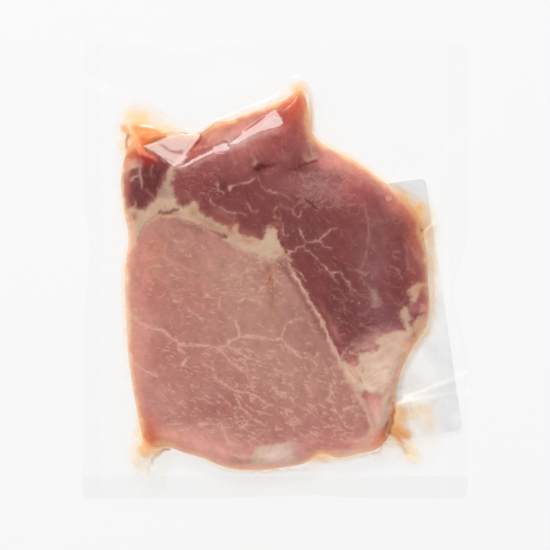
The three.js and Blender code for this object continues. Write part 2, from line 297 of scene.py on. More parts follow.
# %% Facets of the front film
# Each facet: how strongly it pulls the film round it, over how many mm, its aim along the lamp,
# and its corners
FACETS = {
    "bridge over the thin corner": (
        0.5, 2.4, 0, [(-58.4, 54.4), (-54, 55.7), (-50, 57.4), (-47, 58.4), (-42.5, 59.5), (-38, 59.7),
                      (-33.3, 59.7), (-33.3, 58.6), (-33.8, 57.3), (-34.8, 56.3), (-36.2, 54.4),
                      (-37.9, 52.3), (-39.1, 50), (-39.9, 47.6), (-40.2, 46), (-41.5, 44.9),
                      (-43, 44.9), (-45, 45.8), (-48, 48.1), (-50.3, 50), (-53, 51.6), (-56, 53.3)]),
    "ridge of the flap, left": (
        0.7, 4, 0, [(-42.6, 45), (-38.8, 45.4), (-35, 47.5), (-30, 50), (-26.5, 51.8), (-24.4, 52.2),
                    (-22, 52.1), (-19.8, 52.5), (-20.1, 55.4), (-22.5, 55.8), (-25, 54.6), (-26.6, 53.2),
                    (-30, 51.5), (-33.3, 50.1), (-37, 47.9), (-39.8, 46.2)]),
    "ridge of the flap, right": (
        0.5, 5, 0, [(-19.8, 55.6), (-16, 58.2), (-11.5, 61.5), (-8, 64.1), (-4, 67.2), (-1.6, 69.6),
                    (-0.4, 70.3), (0.6, 69.7), (2, 67.7), (3.2, 65.3), (3.9, 64.2), (2.6, 63.1),
                    (0.5, 62.3), (-4, 61.4), (-8, 60), (-12, 57.9), (-16, 55.5), (-19, 54.9)]),
    "dash on the juice": (0.5, 1.5, 1, [
        (-58.4, 63.6), (-56, 63.4), (-53.5, 63), (-53.6, 62.7), (-56, 63), (-58.2, 63.2)]),
    "glint at the peak": (0.2, 4, 0, [(9.2, 82.4), (10.4, 82.2), (10.5, 83.6), (9.3, 83.7)]),
    "glint, upper right": (0.2, 4, 0, [(53.4, 29.6), (54.8, 29.6), (54.8, 30.6), (53.6, 30.6)]),
    "glint, right": (0.2, 4, 0, [(65.1, 11.6), (66.6, 11.9), (66.3, 13), (65.2, 12.8)]),
    "both streaks of the pleat": (
        1, 5, 1.15, [(53, -58.9), (56, -56.7), (60, -54.4), (66, -51.3), (73, -48.3), (78, -46.6),
                    (85, -44.5), (85, -45.1), (78, -47.2), (73, -49), (66, -52.1), (60, -55.2),
                    (57, -57.1), (61, -56.7), (66, -55.6), (72, -54.7), (78, -54.1), (85, -53.7),
                    (85, -54), (78, -54.4), (72, -55), (66, -55.9), (60, -57.2), (56, -58.5)]),
    "streak across the label": (0.3, 4, 0, [(64.6, 16.4), (70.7, 20.3), (70.5, 21.3), (64.3, 17.4)]),
}
FACET_EDGE = (-0.95, -0.35)
FACET_SAMPLES = 60


def with_facets(x, y, height, planes):
    """Pulls the film part of the way towards each facet's plane round it, then lays it flat.

    A plane is a facet's pull, reach and corners, its slopes along x and y, and its level at x = y = 0.
    """
    for last in (False, True):
        for pull, reach, corners, slope, level in planes:
            outer, inner = FACET_EDGE if last else (-reach, 0)
            near = nearby(x, y, corners, 1 - outer)
            if near.size:
                depth = depth_inside(x[near], y[near], corners)
                plane = level + slope[0] * x[near] + slope[1] * y[near]
                height[near] += (plane - height[near]) * (1 if last else pull) * step(depth, outer, inner)
    return height


def stroke_field(x, y, strokes, far=2.0):
    """The largest of half-width minus distance over all strokes, no lower than minus far.

    A stroke is its points and its half-width at the start and at the end.
    """
    field = np.full_like(x, -far)
    for points, start_width, end_width in strokes:
        p = np.asarray(points, float)
        near = nearby(x, y, p, far + max(start_width, end_width))
        if near.size == 0:
            continue
        way = np.stack([x[near], y[near]], axis=1)[:, None, :] - p[:-1]
        run = p[1:] - p[:-1]
        along = np.clip((way * run).sum(-1) / (run**2).sum(-1), 0, 1)
        gap = np.linalg.norm(way - along[..., None] * run, axis=-1)
        share = (along + np.arange(len(run))) / len(run)
        width = start_width + (end_width - start_width) * share
        field[near] = np.maximum(field[near], (width - gap).max(axis=1))
    return field


# %% [markdown]
# ## The slice's own relief
#
# Under the film the cut face is almost flat: it dips where the flap is folded back, stands a
# little proud where a muscle swells, and sinks at the fat seam. The front film follows the same
# swells, because it lies on them.

# %% Top of the slice and both films
SLICE_THICKNESS = 11.0
SHOULDER_CURVE = 2.2
# Where the film comes down in a straight line instead of a round one: direction, half-width, change
STRAIGHT_CLIMBS = {"top left corner": (129, 13, -1.15)}
BOTTOM_ROUNDING = 4
# Place, height and radius of each swell or hollow
SWELLS = {
    "folded flap": ((-8, 60), 1.2, 17),
    "dimple under the flap": ((-6.5, 45), -1.1, 4),
    "crease under the flap": ((14, 46.5), -1.2, 5),
    "dark muscle": ((36, 8), 0.8, 26),
    "loin eye": ((-25, -25), -0.4, 34),
    "fat corner": ((47, -45), -1, 11),
    "small muscle": ((-58, 38), -0.8, 11),
    "fat seam": ((-44, 27), -0.8, 8),
    "thin corner": ((-61, 57), -3, 9),
}
LABEL_MIDDLE = np.array([38.7, -20.3])
LABEL_SIZE = np.array([72.0, 112.0])
LABEL_TURN = np.radians(8.4)
LABEL_THICKNESS = 0.12
LABEL_RECESS = 0.2
STIFFENED = 0.85  # share of a fold that only the front film takes, where the label stiffens the back
SKIN = 0.06


def label_place(x, y):
    """Position in the label's own axes, from its middle."""
    along, across = x - LABEL_MIDDLE[0], y - LABEL_MIDDLE[1]
    cos, sin = np.cos(LABEL_TURN), np.sin(LABEL_TURN)
    return along * cos + across * sin, across * cos - along * sin


class Heights:
    """All the heights over one set of points, in millimetres above the table."""

    def __init__(self, x, y, planes=()):
        self.depth = depth_inside(x, y, outline)
        fringe = around(x, y, FRINGE, POCKETS)
        rounding = around(x, y, TOP_ROUNDING, THIN_EDGES)
        outside = np.maximum(0, -(self.depth + fringe))
        folds = fold_heights(x, y) * step(outside, 0, 3)
        beyond = np.hypot(*(np.maximum(0, abs(p) - s / 2) for p, s in zip(label_place(x, y), LABEL_SIZE)))
        on_label = 1 - step(beyond, 1, 8)
        front_folds = STIFFENED * on_label * folds
        low_climb = np.clip((self.depth + fringe) / (fringe + BOTTOM_ROUNDING), 0, 1)
        self.rest = (margin_height(x, y, outside) + folds - front_folds) * (1 - low_climb) ** 2
        self.back = self.rest + LABEL_RECESS * on_label
        self.swell = sum(h * bell(np.hypot(x - at[0], y - at[1]), r) for at, h, r in SWELLS.values())
        climb = np.clip((self.depth + fringe) / (fringe + rounding), 0, 1)
        self.low = self.back + FILM_THICKNESS + front_folds
        lift = np.maximum(0, SLICE_THICKNESS + self.swell - self.low)
        slack = 0.05 * slow_noise(x, y, 16, seed=21) * step(self.depth, 0, 5)
        curve = around(x, y, SHOULDER_CURVE, STRAIGHT_CLIMBS)
        self.front = self.low + lift * (1 - (1 - climb) ** curve) + slack
        shaped = with_facets(x.ravel(), y.ravel(), self.front.ravel(), planes).reshape(x.shape)
        self.front = np.maximum(shaped, self.low)


def facet_plane(pull, reach, aim, corners, earlier):
    """A facet's plane: half way to the lamp, at the mean height of the film that it replaces."""
    ends = zip(np.min(corners, axis=0), np.max(corners, axis=0))
    sides = (np.linspace(low, high, FACET_SAMPLES) for low, high in ends)
    x, y = (grid.ravel() for grid in np.meshgrid(*sides))
    inside = depth_inside(x, y, corners) > 0
    x, y = x[inside], y[inside]
    facing = half_way((x.mean(), y.mean(), SLICE_THICKNESS / 2), aim)
    slope = -facing[:2] / facing[2]
    heights = Heights(x, y, earlier)
    drop = slope[0] * x + slope[1] * y
    return pull, reach, corners, slope, max((heights.front - drop).mean(), (heights.low - drop).max())


FACET_PLANES = []
for facet in FACETS.values():
    FACET_PLANES.append(facet_plane(*facet, FACET_PLANES))


# %% [markdown]
# ## From heights to meshes
#
# A grid of points, once more for the other face, and a wall between their borders make a closed
# skin. Film and label use a plain grid whose lines crowd together where detail is fine. The slice
# uses a square grid that is bent onto its outline: rings of the square become rings of the slice,
# which keeps the faces even in size, where a plain polar grid would crowd them in the middle.


# %% Grids and closed skins
def graded_lines(low, high, spacing, zones):
    """Grid lines from low to high, a spacing apart and closer inside each zone."""
    t = np.linspace(low, high, 6000)
    density = np.full_like(t, 1 / spacing)
    for start, end, fine in zones:
        inside = step(t, start - 2, start) * (1 - step(t, end, end + 2))
        density = np.maximum(density, inside / fine)
    count = np.concatenate([[0], np.cumsum((density[1:] + density[:-1]) / 2 * np.diff(t))])
    return np.interp(np.linspace(0, count[-1], int(round(count[-1])) + 1), count, t)


def grid_faces(rows, columns, start=0):
    """The four corners of each cell of a grid, anticlockwise when x runs along a row."""
    at = start + np.arange(rows * columns).reshape(rows, columns)
    cells = np.stack([at[:-1, :-1], at[:-1, 1:], at[1:, 1:], at[1:, :-1]], axis=-1)
    return cells.reshape(-1, 4)


def border_of(rows, columns):
    """The grid's border points in order, anticlockwise, without repeating the first."""
    at = np.arange(rows * columns).reshape(rows, columns)
    return np.concatenate([at[0, :-1], at[:-1, -1], at[-1, :0:-1], at[:0:-1, 0]])


def closed_skin(x, y, top, bottom, every=1):
    """Points and faces of a closed skin: the top grid, the bottom grid turned over, and a wall.

    The bottom may keep only one grid line in several. Each face of the wall then has one bottom
    side and several top sides.
    """
    rows, columns = x.shape
    low_x, low_y, low_z = (grid[::every, ::every] for grid in (x, y, bottom))
    low_rows, low_columns = low_x.shape
    points = np.concatenate([
        np.stack([x, y, top], axis=-1).reshape(-1, 3),
        np.stack([low_x, low_y, low_z], axis=-1).reshape(-1, 3),
    ])
    half = rows * columns
    rim, low_rim = border_of(rows, columns), border_of(low_rows, low_columns) + half
    reach = (np.arange(low_rim.size)[:, None] * every + np.arange(every, -1, -1)) % rim.size
    wall = np.concatenate([rim[reach], low_rim[:, None], np.roll(low_rim, -1)[:, None]], axis=1)
    faces = grid_faces(rows, columns).tolist()
    faces += grid_faces(low_rows, low_columns, half)[:, ::-1].tolist()
    return points, faces + wall.tolist()


SHARP_ANGLE = np.radians(60)


def make_piece(name, points, faces, fields=None):
    """A mesh object at the origin, smooth-shaded, with one attribute for each named field."""
    mesh = bpy.data.meshes.new(name)
    mesh.from_pydata((points * MM).tolist(), [], faces)
    mesh.shade_smooth()
    mesh.set_sharp_from_angle(angle=SHARP_ANGLE)
    for field, values in (fields or {}).items():
        if values.ndim == 2:
            mesh.attributes.new(field, "FLOAT_COLOR", "POINT").data.foreach_set("color", values.ravel())
        else:
            mesh.attributes.new(field, "FLOAT", "POINT").data.foreach_set("value", values)
    piece = bpy.data.objects.new(name, mesh)
    bpy.context.scene.collection.objects.link(piece)
    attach(piece, "root")
    triangles = sum(len(face) - 2 for face in faces)
    print(f"{name}: {len(points)} points, {triangles} triangles")
    return piece


# %% [markdown]
# ## The film
#
# The pouch is one closed envelope: the front film, the back film and the narrow cut edge where
# they end. A real film is a sheet far thinner than anything this render can show, so the envelope
# has no second wall inside; light passes the front film once and the back film once. The grid is
# finest where the facets are.

# %% Make the film
FILM_SPACING = 1.45
film_x = graded_lines(-HALF_WIDTH, HALF_WIDTH, FILM_SPACING, [(-61, 6, 0.5), (52, HALF_WIDTH, 0.62)])
film_y = graded_lines(-HALF_HEIGHT, HALF_HEIGHT, FILM_SPACING,
                      [(-HALF_HEIGHT, -91, 0.7), (-61, -45, 0.5), (43, 71, 0.5)])
line_x, line_y = np.meshgrid(film_x, film_y)


def corner_inset(from_end):
    """How far a rounded corner draws the border in at a distance from the end."""
    cut = np.clip(CORNER_RADIUS - from_end, 0, CORNER_RADIUS)
    return CORNER_RADIUS - np.sqrt(CORNER_RADIUS**2 - cut**2)


side_size = np.where(line_x < 0, half_size("left", line_y), half_size("right", line_y))
side_size = side_size - corner_inset(HALF_HEIGHT - abs(line_y))
end_size = np.where(line_y < 0, half_size("bottom", line_x), half_size("top", line_x))
film_px = line_x * side_size / HALF_WIDTH
film_py = line_y * end_size / HALF_HEIGHT
film_heights = Heights(film_px, film_py, FACET_PLANES)
film_points, film_faces = closed_skin(film_px, film_py, film_heights.front, film_heights.back)

# Where juice wets the film from below it mirrors less: corners, and the share of gloss it loses
WET_AREAS = {
    "patch in the triangle": (
        [(-51.5, 55.3), (-49.4, 55.1), (-47.8, 54.2), (-46, 52.9), (-44, 52.4), (-42, 52.3),
         (-40.3, 52.8), (-40.1, 51.4), (-41.5, 50.5), (-43.5, 50.8), (-46, 51.7), (-48.5, 53.3),
         (-50.5, 54.6)], 0.55),
    "pool over the triangle": (
        [(-58.8, 57.6), (-50.4, 59.4), (-50.8, 62), (-59.6, 62.2)], 0.92),
}
SEAL_BAND = 9.5
SIDE_SEAL = 5.5
bottom_seal = step(-film_py, HALF_HEIGHT - SEAL_BAND - 1, HALF_HEIGHT - SEAL_BAND)
side_seal = step(abs(film_px), HALF_WIDTH - SIDE_SEAL - 3, HALF_WIDTH - SIDE_SEAL - 2)
wet = np.max([
    lost * step(depth_inside(film_px, film_py, area), -0.35, 0.45) for area, lost in WET_AREAS.values()
], axis=0)
film = make_piece("film", film_points, film_faces, {
    "wet": np.tile(wet.ravel(), 2),
    "bottom_seal": np.tile(bottom_seal.ravel(), 2),
    "side_seal": np.tile(side_seal.ravel(), 2),
})
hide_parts("pouch")

# %% [markdown]
# ## The slice
#
# The slice is a closed body with a round edge. Its pattern follows the meat, so it can't come from
# noise alone: the muscles, the fat seam and the main veins of fat are laid out one by one, as on
# any sculpted food. The large shapes are kept as distances, not as colours, because a distance
# stays smooth between the mesh's points and a shader can cut it off as sharply as it likes.

# %% Muscles and fat, laid out
EYE_MUSCLE = [
    (-66, 10), (-62, 11), (-59.3, 13), (-57.7, 16.5), (-55.5, 19.5), (-52.3, 21.9), (-49, 23),
    (-44, 22.8), (-38, 21.2), (-32.9, 19), (-27, 16.4), (-22.5, 13.2), (-17.5, 10.6), (-13, 8.4),
    (-7.5, 6.2), (-6, 5), (-3.4, 4.6), (-0.5, 5), (2, 5.8), (4.4, 4.6), (6.2, 1.2), (8.9, -2.7),
    (11.5, -6.4), (15.4, -14), (20, -21), (24.7, -31.6), (28, -39), (31, -45.5), (35, -52),
    (39, -58.5), (41.5, -65),
    (42.5, -69), (41, -72.5), (36, -75.5), (30, -77), (28, -90), (-30, -95), (-75, -90), (-75, 0),
]
SMALL_MUSCLE = [
    (-66.5, 28), (-63.3, 26.8), (-59.8, 28.3), (-57.5, 27), (-55, 29.3), (-52, 32.2), (-50, 36),
    (-48.6, 40.5), (-47, 43.6), (-46.2, 45.2), (-48, 47.5), (-52, 48.5), (-57, 49.5), (-60.5, 48),
    (-62.5, 45.5), (-65, 43.8), (-67, 40), (-67, 31),
]
FAT_AREAS = {
    "seam": [
        (-65, 26.3), (-59.5, 26), (-57.5, 26.4), (-54.8, 28.6), (-51.6, 31.6), (-50, 34.5),
        (-49, 37.5), (-48.2, 40.3), (-46.7, 43), (-45.6, 45.4), (-44.2, 43), (-45.2, 39.5),
        (-45.6, 35.5), (-44.8, 33), (-43, 31), (-43.2, 29.3), (-41.5, 28), (-38.5, 28.3),
        (-36, 29.4), (-34.2, 29.2), (-33.8, 26.5), (-31.2, 24.4), (-30.8, 23), (-27.3, 21.6),
        (-24.5, 20.2), (-22, 18.8), (-19.5, 17.6), (-17.8, 20), (-16.6, 19.5), (-16.2, 16),
        (-13, 14.6), (-9, 14.6), (-6.6, 12.4), (-5.4, 13.2), (-4.4, 15.8), (-3, 17.8),
        (-1, 18.8), (0.4, 17.8), (1, 15.5), (2, 12.4), (3.8, 9.6), (4.8, 7.6), (6.6, 4.8), (6.3, 3.8),
        (4, 5.6), (2, 5.8), (0.6, 4.9), (-0.2, 3.6), (-0.9, 5), (-2.4, 4.8), (-3.2, 3.2), (-4, 5),
        (-6.3, 5.2), (-5.6, 1), (-6.6, 2.4), (-7.4, 6.1), (-10.2, 7.2), (-10.9, 6.3), (-11.6, 7.5),
        (-14.5, 8.6), (-17.2, 10.2), (-20.4, 11.7), (-22.8, 13.4), (-22.2, 15), (-25.5, 16.4),
        (-29, 18.2), (-33, 19.6), (-38, 21.4), (-44, 22.9), (-49.5, 23.2), (-53, 22),
        (-56, 19.8), (-58.3, 16.6), (-59.6, 13.2), (-61.5, 10.6), (-66, 9.5),
    ],
    "under the corner": [
        (-66.6, 48.5), (-62, 48.3), (-59.4, 47.6), (-59.8, 45.3), (-62.5, 44.6), (-65, 42.6),
        (-66.4, 40), (-67.6, 42),
    ],
    "lower right": [
        (37, -36.9), (41.6, -36.4), (44.9, -35.2), (46.5, -33.6), (44, -31.6), (46.5, -29.6),
        (49.6, -27.8), (54, -26.8), (57, -27), (58, -31.4), (57.4, -36.4), (55.8, -41.7), (54.3, -47.1),
        (52, -52), (49, -51.8), (47.3, -53.9), (44.9, -54.6), (42.2, -54), (39.6, -52.4),
        (37.6, -54), (35.4, -52.2), (33, -48.4), (30.6, -44.4), (28.8, -40.6), (30.2, -39.6),
        (32, -41.6), (34.2, -42.6), (36, -42.6), (37, -41.6), (37.2, -40), (36.4, -38.4),
    ],
    "spot, upper": [
        (59.3, -9), (61, -6.6), (62.8, -5.6), (65.6, -5.8), (65.4, -7.8), (63.6, -9), (62.4, -11.4),
        (61.4, -13.9), (60.2, -13.2), (59.6, -11.2)],
    "spots, chain": [
        (55.4, -18.6), (56.6, -17.4), (58.4, -17.5), (59, -19.6), (59.6, -21.8), (58.6, -23.2),
        (59.8, -25), (60.4, -28), (59.2, -31), (56.5, -31), (57, -28), (57.4, -25), (56.6, -22.6),
        (55.6, -20.8)],
    "right edge": [
        (60.4, -25), (61.4, -22.6), (63.4, -21), (67, -19.9), (69, -20), (69, -25), (66.8, -28.4),
        (63.5, -31), (60, -34), (58, -36), (58.2, -31.5), (60.3, -29.5)],
    "under the flap": [
        (15, 56.8), (15.8, 56.4), (16.8, 53), (17.8, 50.6), (18, 48.8), (16.4, 47.8), (14.8, 47.3),
        (13.4, 48.2), (13.4, 49.4), (14, 51), (14.8, 54)],
    "bottom": [
        (-10.4, -82), (-8.2, -78.6), (-6, -77.4), (-1.3, -76.9), (3.6, -76.3), (7.6, -76),
        (8.8, -77.6), (8, -80.7), (8.4, -84.6), (6, -90), (-8, -91), (-10.8, -86)],
}
# Veins of fat: points along each, then its half-width in mm at the start and at the end
VEINS = [
    # Between the eye and the dark muscle
    ([(5.6, 3.6), (7.2, 0.2), (9.2, -3.2), (12, -7.4), (15.6, -14.5), (20, -21.5),
     (24.7, -31.6)], 0.32, 0.8),
    ([(24.7, -31.6), (27.4, -38), (30.1, -43), (32.8, -48), (35.5, -52.5), (38.2, -57)], 0.85, 1.1),
    ([(38.2, -57), (40.6, -62.5), (42.4, -67.3), (42.6, -70.7), (39.8, -73.6), (35.5, -75.7)], 1.1, 0.45),
    # Round the lobes at the dark muscle's end
    ([(29.4, -38.4), (30.6, -36), (30, -34.4)], 0.5, 0.2),
    ([(30.6, -36), (31.6, -34), (34, -32.6)], 0.3, 0.2),
    ([(30.6, -36.2), (33, -35.8), (35, -36.8), (37, -36.6)], 0.35, 0.3),
    # In the eye
    ([(-61.8, -20.9), (-60.6, -21.6), (-58.1, -24), (-53.9, -25.7), (-49.9, -26), (-46.2, -28.8),
     (-42.7, -32), (-39.2, -33.2), (-34.3, -32.8), (-30.1, -33.3), (-25.8, -33.7),
     (-21.6, -33.4)], 0.62, 0.42),
    ([(-21.6, -33.2), (-20.2, -31), (-16.7, -29.6), (-11.8, -29.1), (-6.9, -29.5), (-2.7, -30.2),
     (1.2, -30.9), (3.3, -29.5), (4, -25.4), (7.1, -22.3), (10.6, -20.9), (12.3, -21.5)], 0.5, 0.3),
    ([(-15.5, -28.8), (-15.9, -26), (-17.3, -23.6), (-17.2, -22), (-20.2, -20.7)], 0.5, 0.25),
    ([(-42.4, -32.5), (-41.4, -34.6), (-39.4, -36.9)], 0.5, 0.2),
    ([(-40.4, -41), (-39.2, -40.2), (-38.6, -39.6)], 0.75, 0.55),
    ([(-25.3, -34.4), (-22.4, -37), (-19.9, -39.6), (-19, -41.2), (-15.5, -43.4),
     (-12, -44.6)], 0.55, 0.25),
    ([(-21.4, -33.6), (-16.9, -35.7), (-13.2, -37.4), (-9.7, -39.3), (-4.1, -41)], 0.42, 0.25),
    ([(-16.2, -35.8), (-14.2, -34), (-11.8, -33)], 0.25, 0.2),
    ([(-30.8, -41.2), (-28, -43), (-26.2, -45), (-25.8, -47.7), (-22.3, -50.5), (-16.7, -53), (-11.1, -54),
     (-7.6, -56.1), (-3.4, -58.2), (3, -60.5), (8, -62)], 0.42, 0.32),
    ([(-16, -53.3), (-16.4, -57.5), (-14.6, -61), (-11.1, -63.8), (-7.6, -66.6),
     (-2.7, -68.4)], 0.45, 0.25),
    ([(-11.1, -63.8), (-12.5, -68), (-16.7, -69.8)], 0.35, 0.25),
    ([(2.9, -31), (5.2, -33), (8.6, -36.4), (12.3, -38.4), (16.5, -38.8), (19, -37.5)], 0.4, 0.35),
    ([(22.7, -55.9), (25.2, -58.2), (26.4, -61.6), (29, -65), (31, -68.2), (34.2, -69.6)], 0.42, 0.3),
    ([(23.4, -56.4), (25, -53.4), (24.6, -51), (26.8, -49.2)], 0.3, 0.2),
    ([(30.4, -60.6), (33, -61.4), (36, -63), (40, -64.4)], 0.45, 0.25),
    ([(31.6, -60.2), (34.4, -60.4)], 0.5, 0.5),
    ([(-62, -40.4), (-60, -42.4), (-56, -45), (-51.8, -46.3)], 0.5, 0.25),
    # In the eye, low down
    ([(-46.9, -68), (-43.5, -67.2), (-40.6, -67.6)], 0.3, 0.3),
    ([(-42, -70.9), (-39.5, -69.9), (-37.1, -69.5)], 0.4, 0.25),
    ([(-32.9, -68), (-29, -67.2), (-25.1, -67.9)], 0.4, 0.3),
    ([(-23.7, -67.3), (-21.6, -73), (-20.2, -76.2), (-15.3, -76.5)], 0.38, 0.3),
    ([(-32.9, -73), (-30.8, -74.4), (-29.4, -77.9)], 0.35, 0.5),
    ([(-10.4, -74.4), (-7, -72.5), (-4.8, -70.9)], 0.3, 0.25),
    ([(-20.4, -79.3), (-18.6, -81), (-15, -82), (-10.6, -81.8)], 0.5, 0.9),
    ([(4.5, -61), (6.4, -64.5), (8.3, -70.2)], 0.35, 0.25),
    ([(7.8, -63.8), (10, -65.6), (12.7, -66.6)], 0.3, 0.2),
    ([(9.6, -59), (12.4, -60.6), (16, -62.4)], 0.32, 0.25),
    ([(19.6, -77.4), (22, -77.8), (24, -77.2), (24, -76.2)], 0.3, 0.25),
    ([(15.4, -70.8), (16.6, -71.6), (18, -72.6)], 0.5, 0.4),
    ([(11.6, -49.4), (14.8, -51.8), (16.2, -54.8)], 0.32, 0.25),
    ([(0, -43.2), (3.8, -45.6), (7.6, -46)], 0.35, 0.3), ([(-1, -52), (2.4, -54), (5, -54.4)], 0.3, 0.25),
    # In the eye, high up
    ([(-38.2, -17), (-35.4, -19.2), (-32.4, -21.8)], 0.34, 0.2),
    ([(-31.5, -10.2), (-28, -12), (-24.8, -13.2)], 0.28, 0.25),
    ([(-22.8, -9.4), (-24, -12.6), (-24.4, -16.8)], 0.3, 0.3),
    ([(-16.6, -14), (-13.2, -12.6), (-9, -13.3), (-6.2, -14.7)], 0.3, 0.22),
    # In the dark muscle
    ([(-28.8, 32), (-28.4, 30.2), (-26.6, 28.4), (-23.7, 27), (-21, 25.6), (-17.6, 25), (-15, 25.2),
     (-13, 23.8)], 0.3, 0.45),
    ([(-20.2, 34.8), (-19.6, 36.8), (-15.3, 37.9), (-11.8, 38.3), (-9.4, 39.9)], 0.35, 0.28),
    ([(-25.6, 38.3), (-25, 35), (-22.6, 33.8)], 0.3, 0.25),
    ([(-13, 29.4), (-11, 28.2), (-10.2, 26), (-9, 25.6), (-7.4, 26.6)], 0.28, 0.25),
    ([(-7.2, 40), (-5.6, 36.4), (-4.1, 35), (-0.6, 34), (3.6, 33.3), (6.4, 31.2), (8.5, 29.1)], 0.3, 0.18),
    ([(-0.4, 26.1), (0.6, 27.2), (1.9, 28.2), (5, 27.2), (7.4, 26), (9, 24.6), (10.4, 23.2), (11.2, 24.6),
     (11.8, 26)], 0.28, 0.22),
    ([(-0.6, 23.6), (2, 23.2), (2.9, 20.8), (3.3, 17.4), (3.2, 15.8), (5.6, 15.2)], 0.32, 0.22),
    ([(10.6, 18.6), (11.4, 15.8), (12.8, 13.4), (13.8, 12.4), (16.7, 12.5), (19.5, 12.6)], 0.25, 0.38),
    ([(19.5, 12.6), (20.6, 14.8), (23, 16), (24.4, 17.6), (27, 17.9)], 0.4, 0.25),
    ([(19.5, 12.4), (21.6, 10.4), (24.6, 9)], 0.35, 0.2),
    ([(12.6, 10.4), (13.6, 8.6), (16.9, 6.4), (19.5, 3.4), (22.3, 0.9), (24.6, -0.6), (25.4, -4),
     (27.6, -5.6)], 0.28, 0.25),
    ([(4.8, 7.2), (6.6, 7.8), (8.6, 8), (9.3, 10), (12.4, 10.6), (13.2, 12.2)], 0.35, 0.35),
    ([(25, -0.8), (28.4, -1), (30.6, -3.6), (32.8, -8), (34.6, -11.6), (37, -14.4)], 0.28, 0.2),
    ([(31.5, -4.4), (33.2, -7), (36.2, -10.8), (38.2, -11.6)], 0.3, 0.22),
    ([(6.6, 2), (9.6, -0.6), (12.4, -3.4), (13.6, -5)], 0.28, 0.15),
    # In the small muscle
    ([(-59.4, 44), (-59, 41.5), (-59.2, 39), (-58.2, 36.6)], 0.5, 0.5),
    ([(-63.2, 39.3), (-61.6, 40.6), (-60, 41)], 0.45, 0.5),
    ([(-53.6, 46), (-54.6, 43.6), (-54.2, 41), (-53.6, 40.4)], 0.25, 0.2),
    ([(-56.4, 35.2), (-55, 33.4), (-53.2, 32), (-52, 31.4)], 0.28, 0.4),
    ([(-51.8, 35.6), (-50.6, 34.4), (-49.4, 34.6)], 0.3, 0.4),
    # Left of the fat seam
    ([(-61.5, 30.4), (-61, 28.6), (-61.8, 26.6)], 0.3, 0.9),
]
# Veins that lie deeper or are thinner, and show only faintly
FAINT_VEINS = [
    # Fibres in the flap
    ([(10.4, 70.5), (12.2, 66), (13.4, 62), (14.4, 58)], 0.3, 0.35),
    ([(15.4, 60), (16.6, 55.4), (17.4, 51.4)], 0.5, 0.35),
    ([(-26.8, 50.6), (-25.4, 48.4), (-23, 46)], 0.5, 0.3),
    ([(-33, 55.6), (-29.8, 57), (-27.8, 60)], 0.4, 0.3),
    ([(-36.5, 53.2), (-33, 54.2), (-29.4, 54.6)], 0.45, 0.35),
    ([(-19.6, 52), (-18.4, 48.6), (-16.8, 46.8)], 0.4, 0.25),
    # A violet line down the dark muscle
    ([(39.2, 28), (40.4, 23), (41.4, 17.4), (41, 13), (39.8, 6.4), (37.6, 1)], 0.45, 0.5),
    ([(31, 0.4), (34, 0.2), (37, -0.4), (39, -2)], 0.3, 0.8),
    ([(39.6, -5.4), (41.4, -8), (43.6, -9.6), (44.6, -12.4), (45.6, -14.6), (43, -15.8)], 0.6, 1.2),
    # Right of it
    ([(48.8, -10), (51.4, -13), (54.4, -16), (56.6, -13.4), (58.8, -9)], 0.3, 0.25),
    ([(60.2, -13.6), (59.4, -16.4), (58.8, -18)], 0.6, 0.6),
    ([(57.4, 11), (58, 6), (58, 1.6), (59.6, -0.6), (61, -1.8)], 0.35, 0.25),
    ([(50.6, 1.8), (53.4, -0.2), (55, -2.2), (55.6, -3.6)], 0.45, 0.35),
    ([(51.6, 6.2), (53.4, 5), (54.8, 4.6)], 0.45, 0.3), ([(57, 14), (60.4, 8.6), (62.6, 5)], 0.3, 0.25),
    ([(52.4, 8.2), (54.2, 7.6)], 0.4, 0.3),
    # Spots at the upper right
    ([(44.8, 34.6), (46.4, 33.8), (47.6, 33.6)], 0.8, 0.7),
    ([(35, 38.4), (36.6, 37.2), (37.4, 39)], 0.9, 0.6),
    # Threads in the eye
    ([(-56.4, 4.4), (-53.4, 5.6), (-49.4, 6), (-46, 4), (-42, 2.4), (-38.4, 0.4), (-34, -1.4)], 0.4, 0.3),
    ([(-48.6, 6.2), (-48.3, 9), (-47.6, 11.4)], 0.4, 0.25), ([(-42, 12.4), (-38.6, 12.6)], 0.35, 0.25),
    ([(-61, -1), (-59.6, -2.6)], 0.4, 0.3), ([(-45.4, -10.6), (-43.4, -13), (-42.2, -14.4)], 0.3, 0.2),
    # Fibres that run out over the fat
    ([(37.5, -24), (41, -25.4), (44.6, -27), (49, -28.4)], 0.45, 0.7),
    ([(34.2, -35.7), (37.5, -33), (40.9, -31), (44.9, -31), (50.3, -29)], 0.45, 0.8),
    ([(30.8, -38.4), (33, -36.2), (36.6, -35), (40, -33.6), (46, -32)], 0.5, 0.9),
    ([(42, -25), (46, -27.6), (50, -28.6), (55, -29)], 0.4, 0.6),
    ([(38.6, -29.4), (43, -29.6), (48, -29.6)], 0.3, 0.5),
    ([(32.4, -33.4), (34.6, -33), (36.6, -32)], 0.3, 0.2),
]
# Creases: slits, folds, a dimple and a hole. They dip into the surface, and the shader paints them dark:
# partly the darker meat inside them, partly painted shade.
CREASES = {
    "slit in the fat": ([(-50.8, 25.1), (-48, 25.2), (-46, 25.5), (-44, 26.3), (-42.6, 26.3)], 0.12, 0.3),
    "slit in the fat, middle": ([(-47.4, 25.3), (-45.4, 25.7)], 0.3, 0.35),
    "under the flap": ([(6, 43.8), (9, 44.4), (11.4, 45.4), (14, 46.4), (18, 47.8)], 0.1, 0.35),
    "dimple": ([(-7, 46), (-5.4, 44.6), (-3, 45.2), (-0.6, 45.6)], 0.6, 0.25),
    "fold of the flap": ([(13.4, 30.6), (15.5, 29), (18, 27)], 0.2, 0.3),
    "beside the knot": ([(1.2, 18), (2.2, 13), (3.6, 10.4), (4.9, 8)], 0.15, 0.3),
    "hole above the eye": ([(-22.2, 15.1), (-21.4, 14.7)], 0.35, 0.25),
}

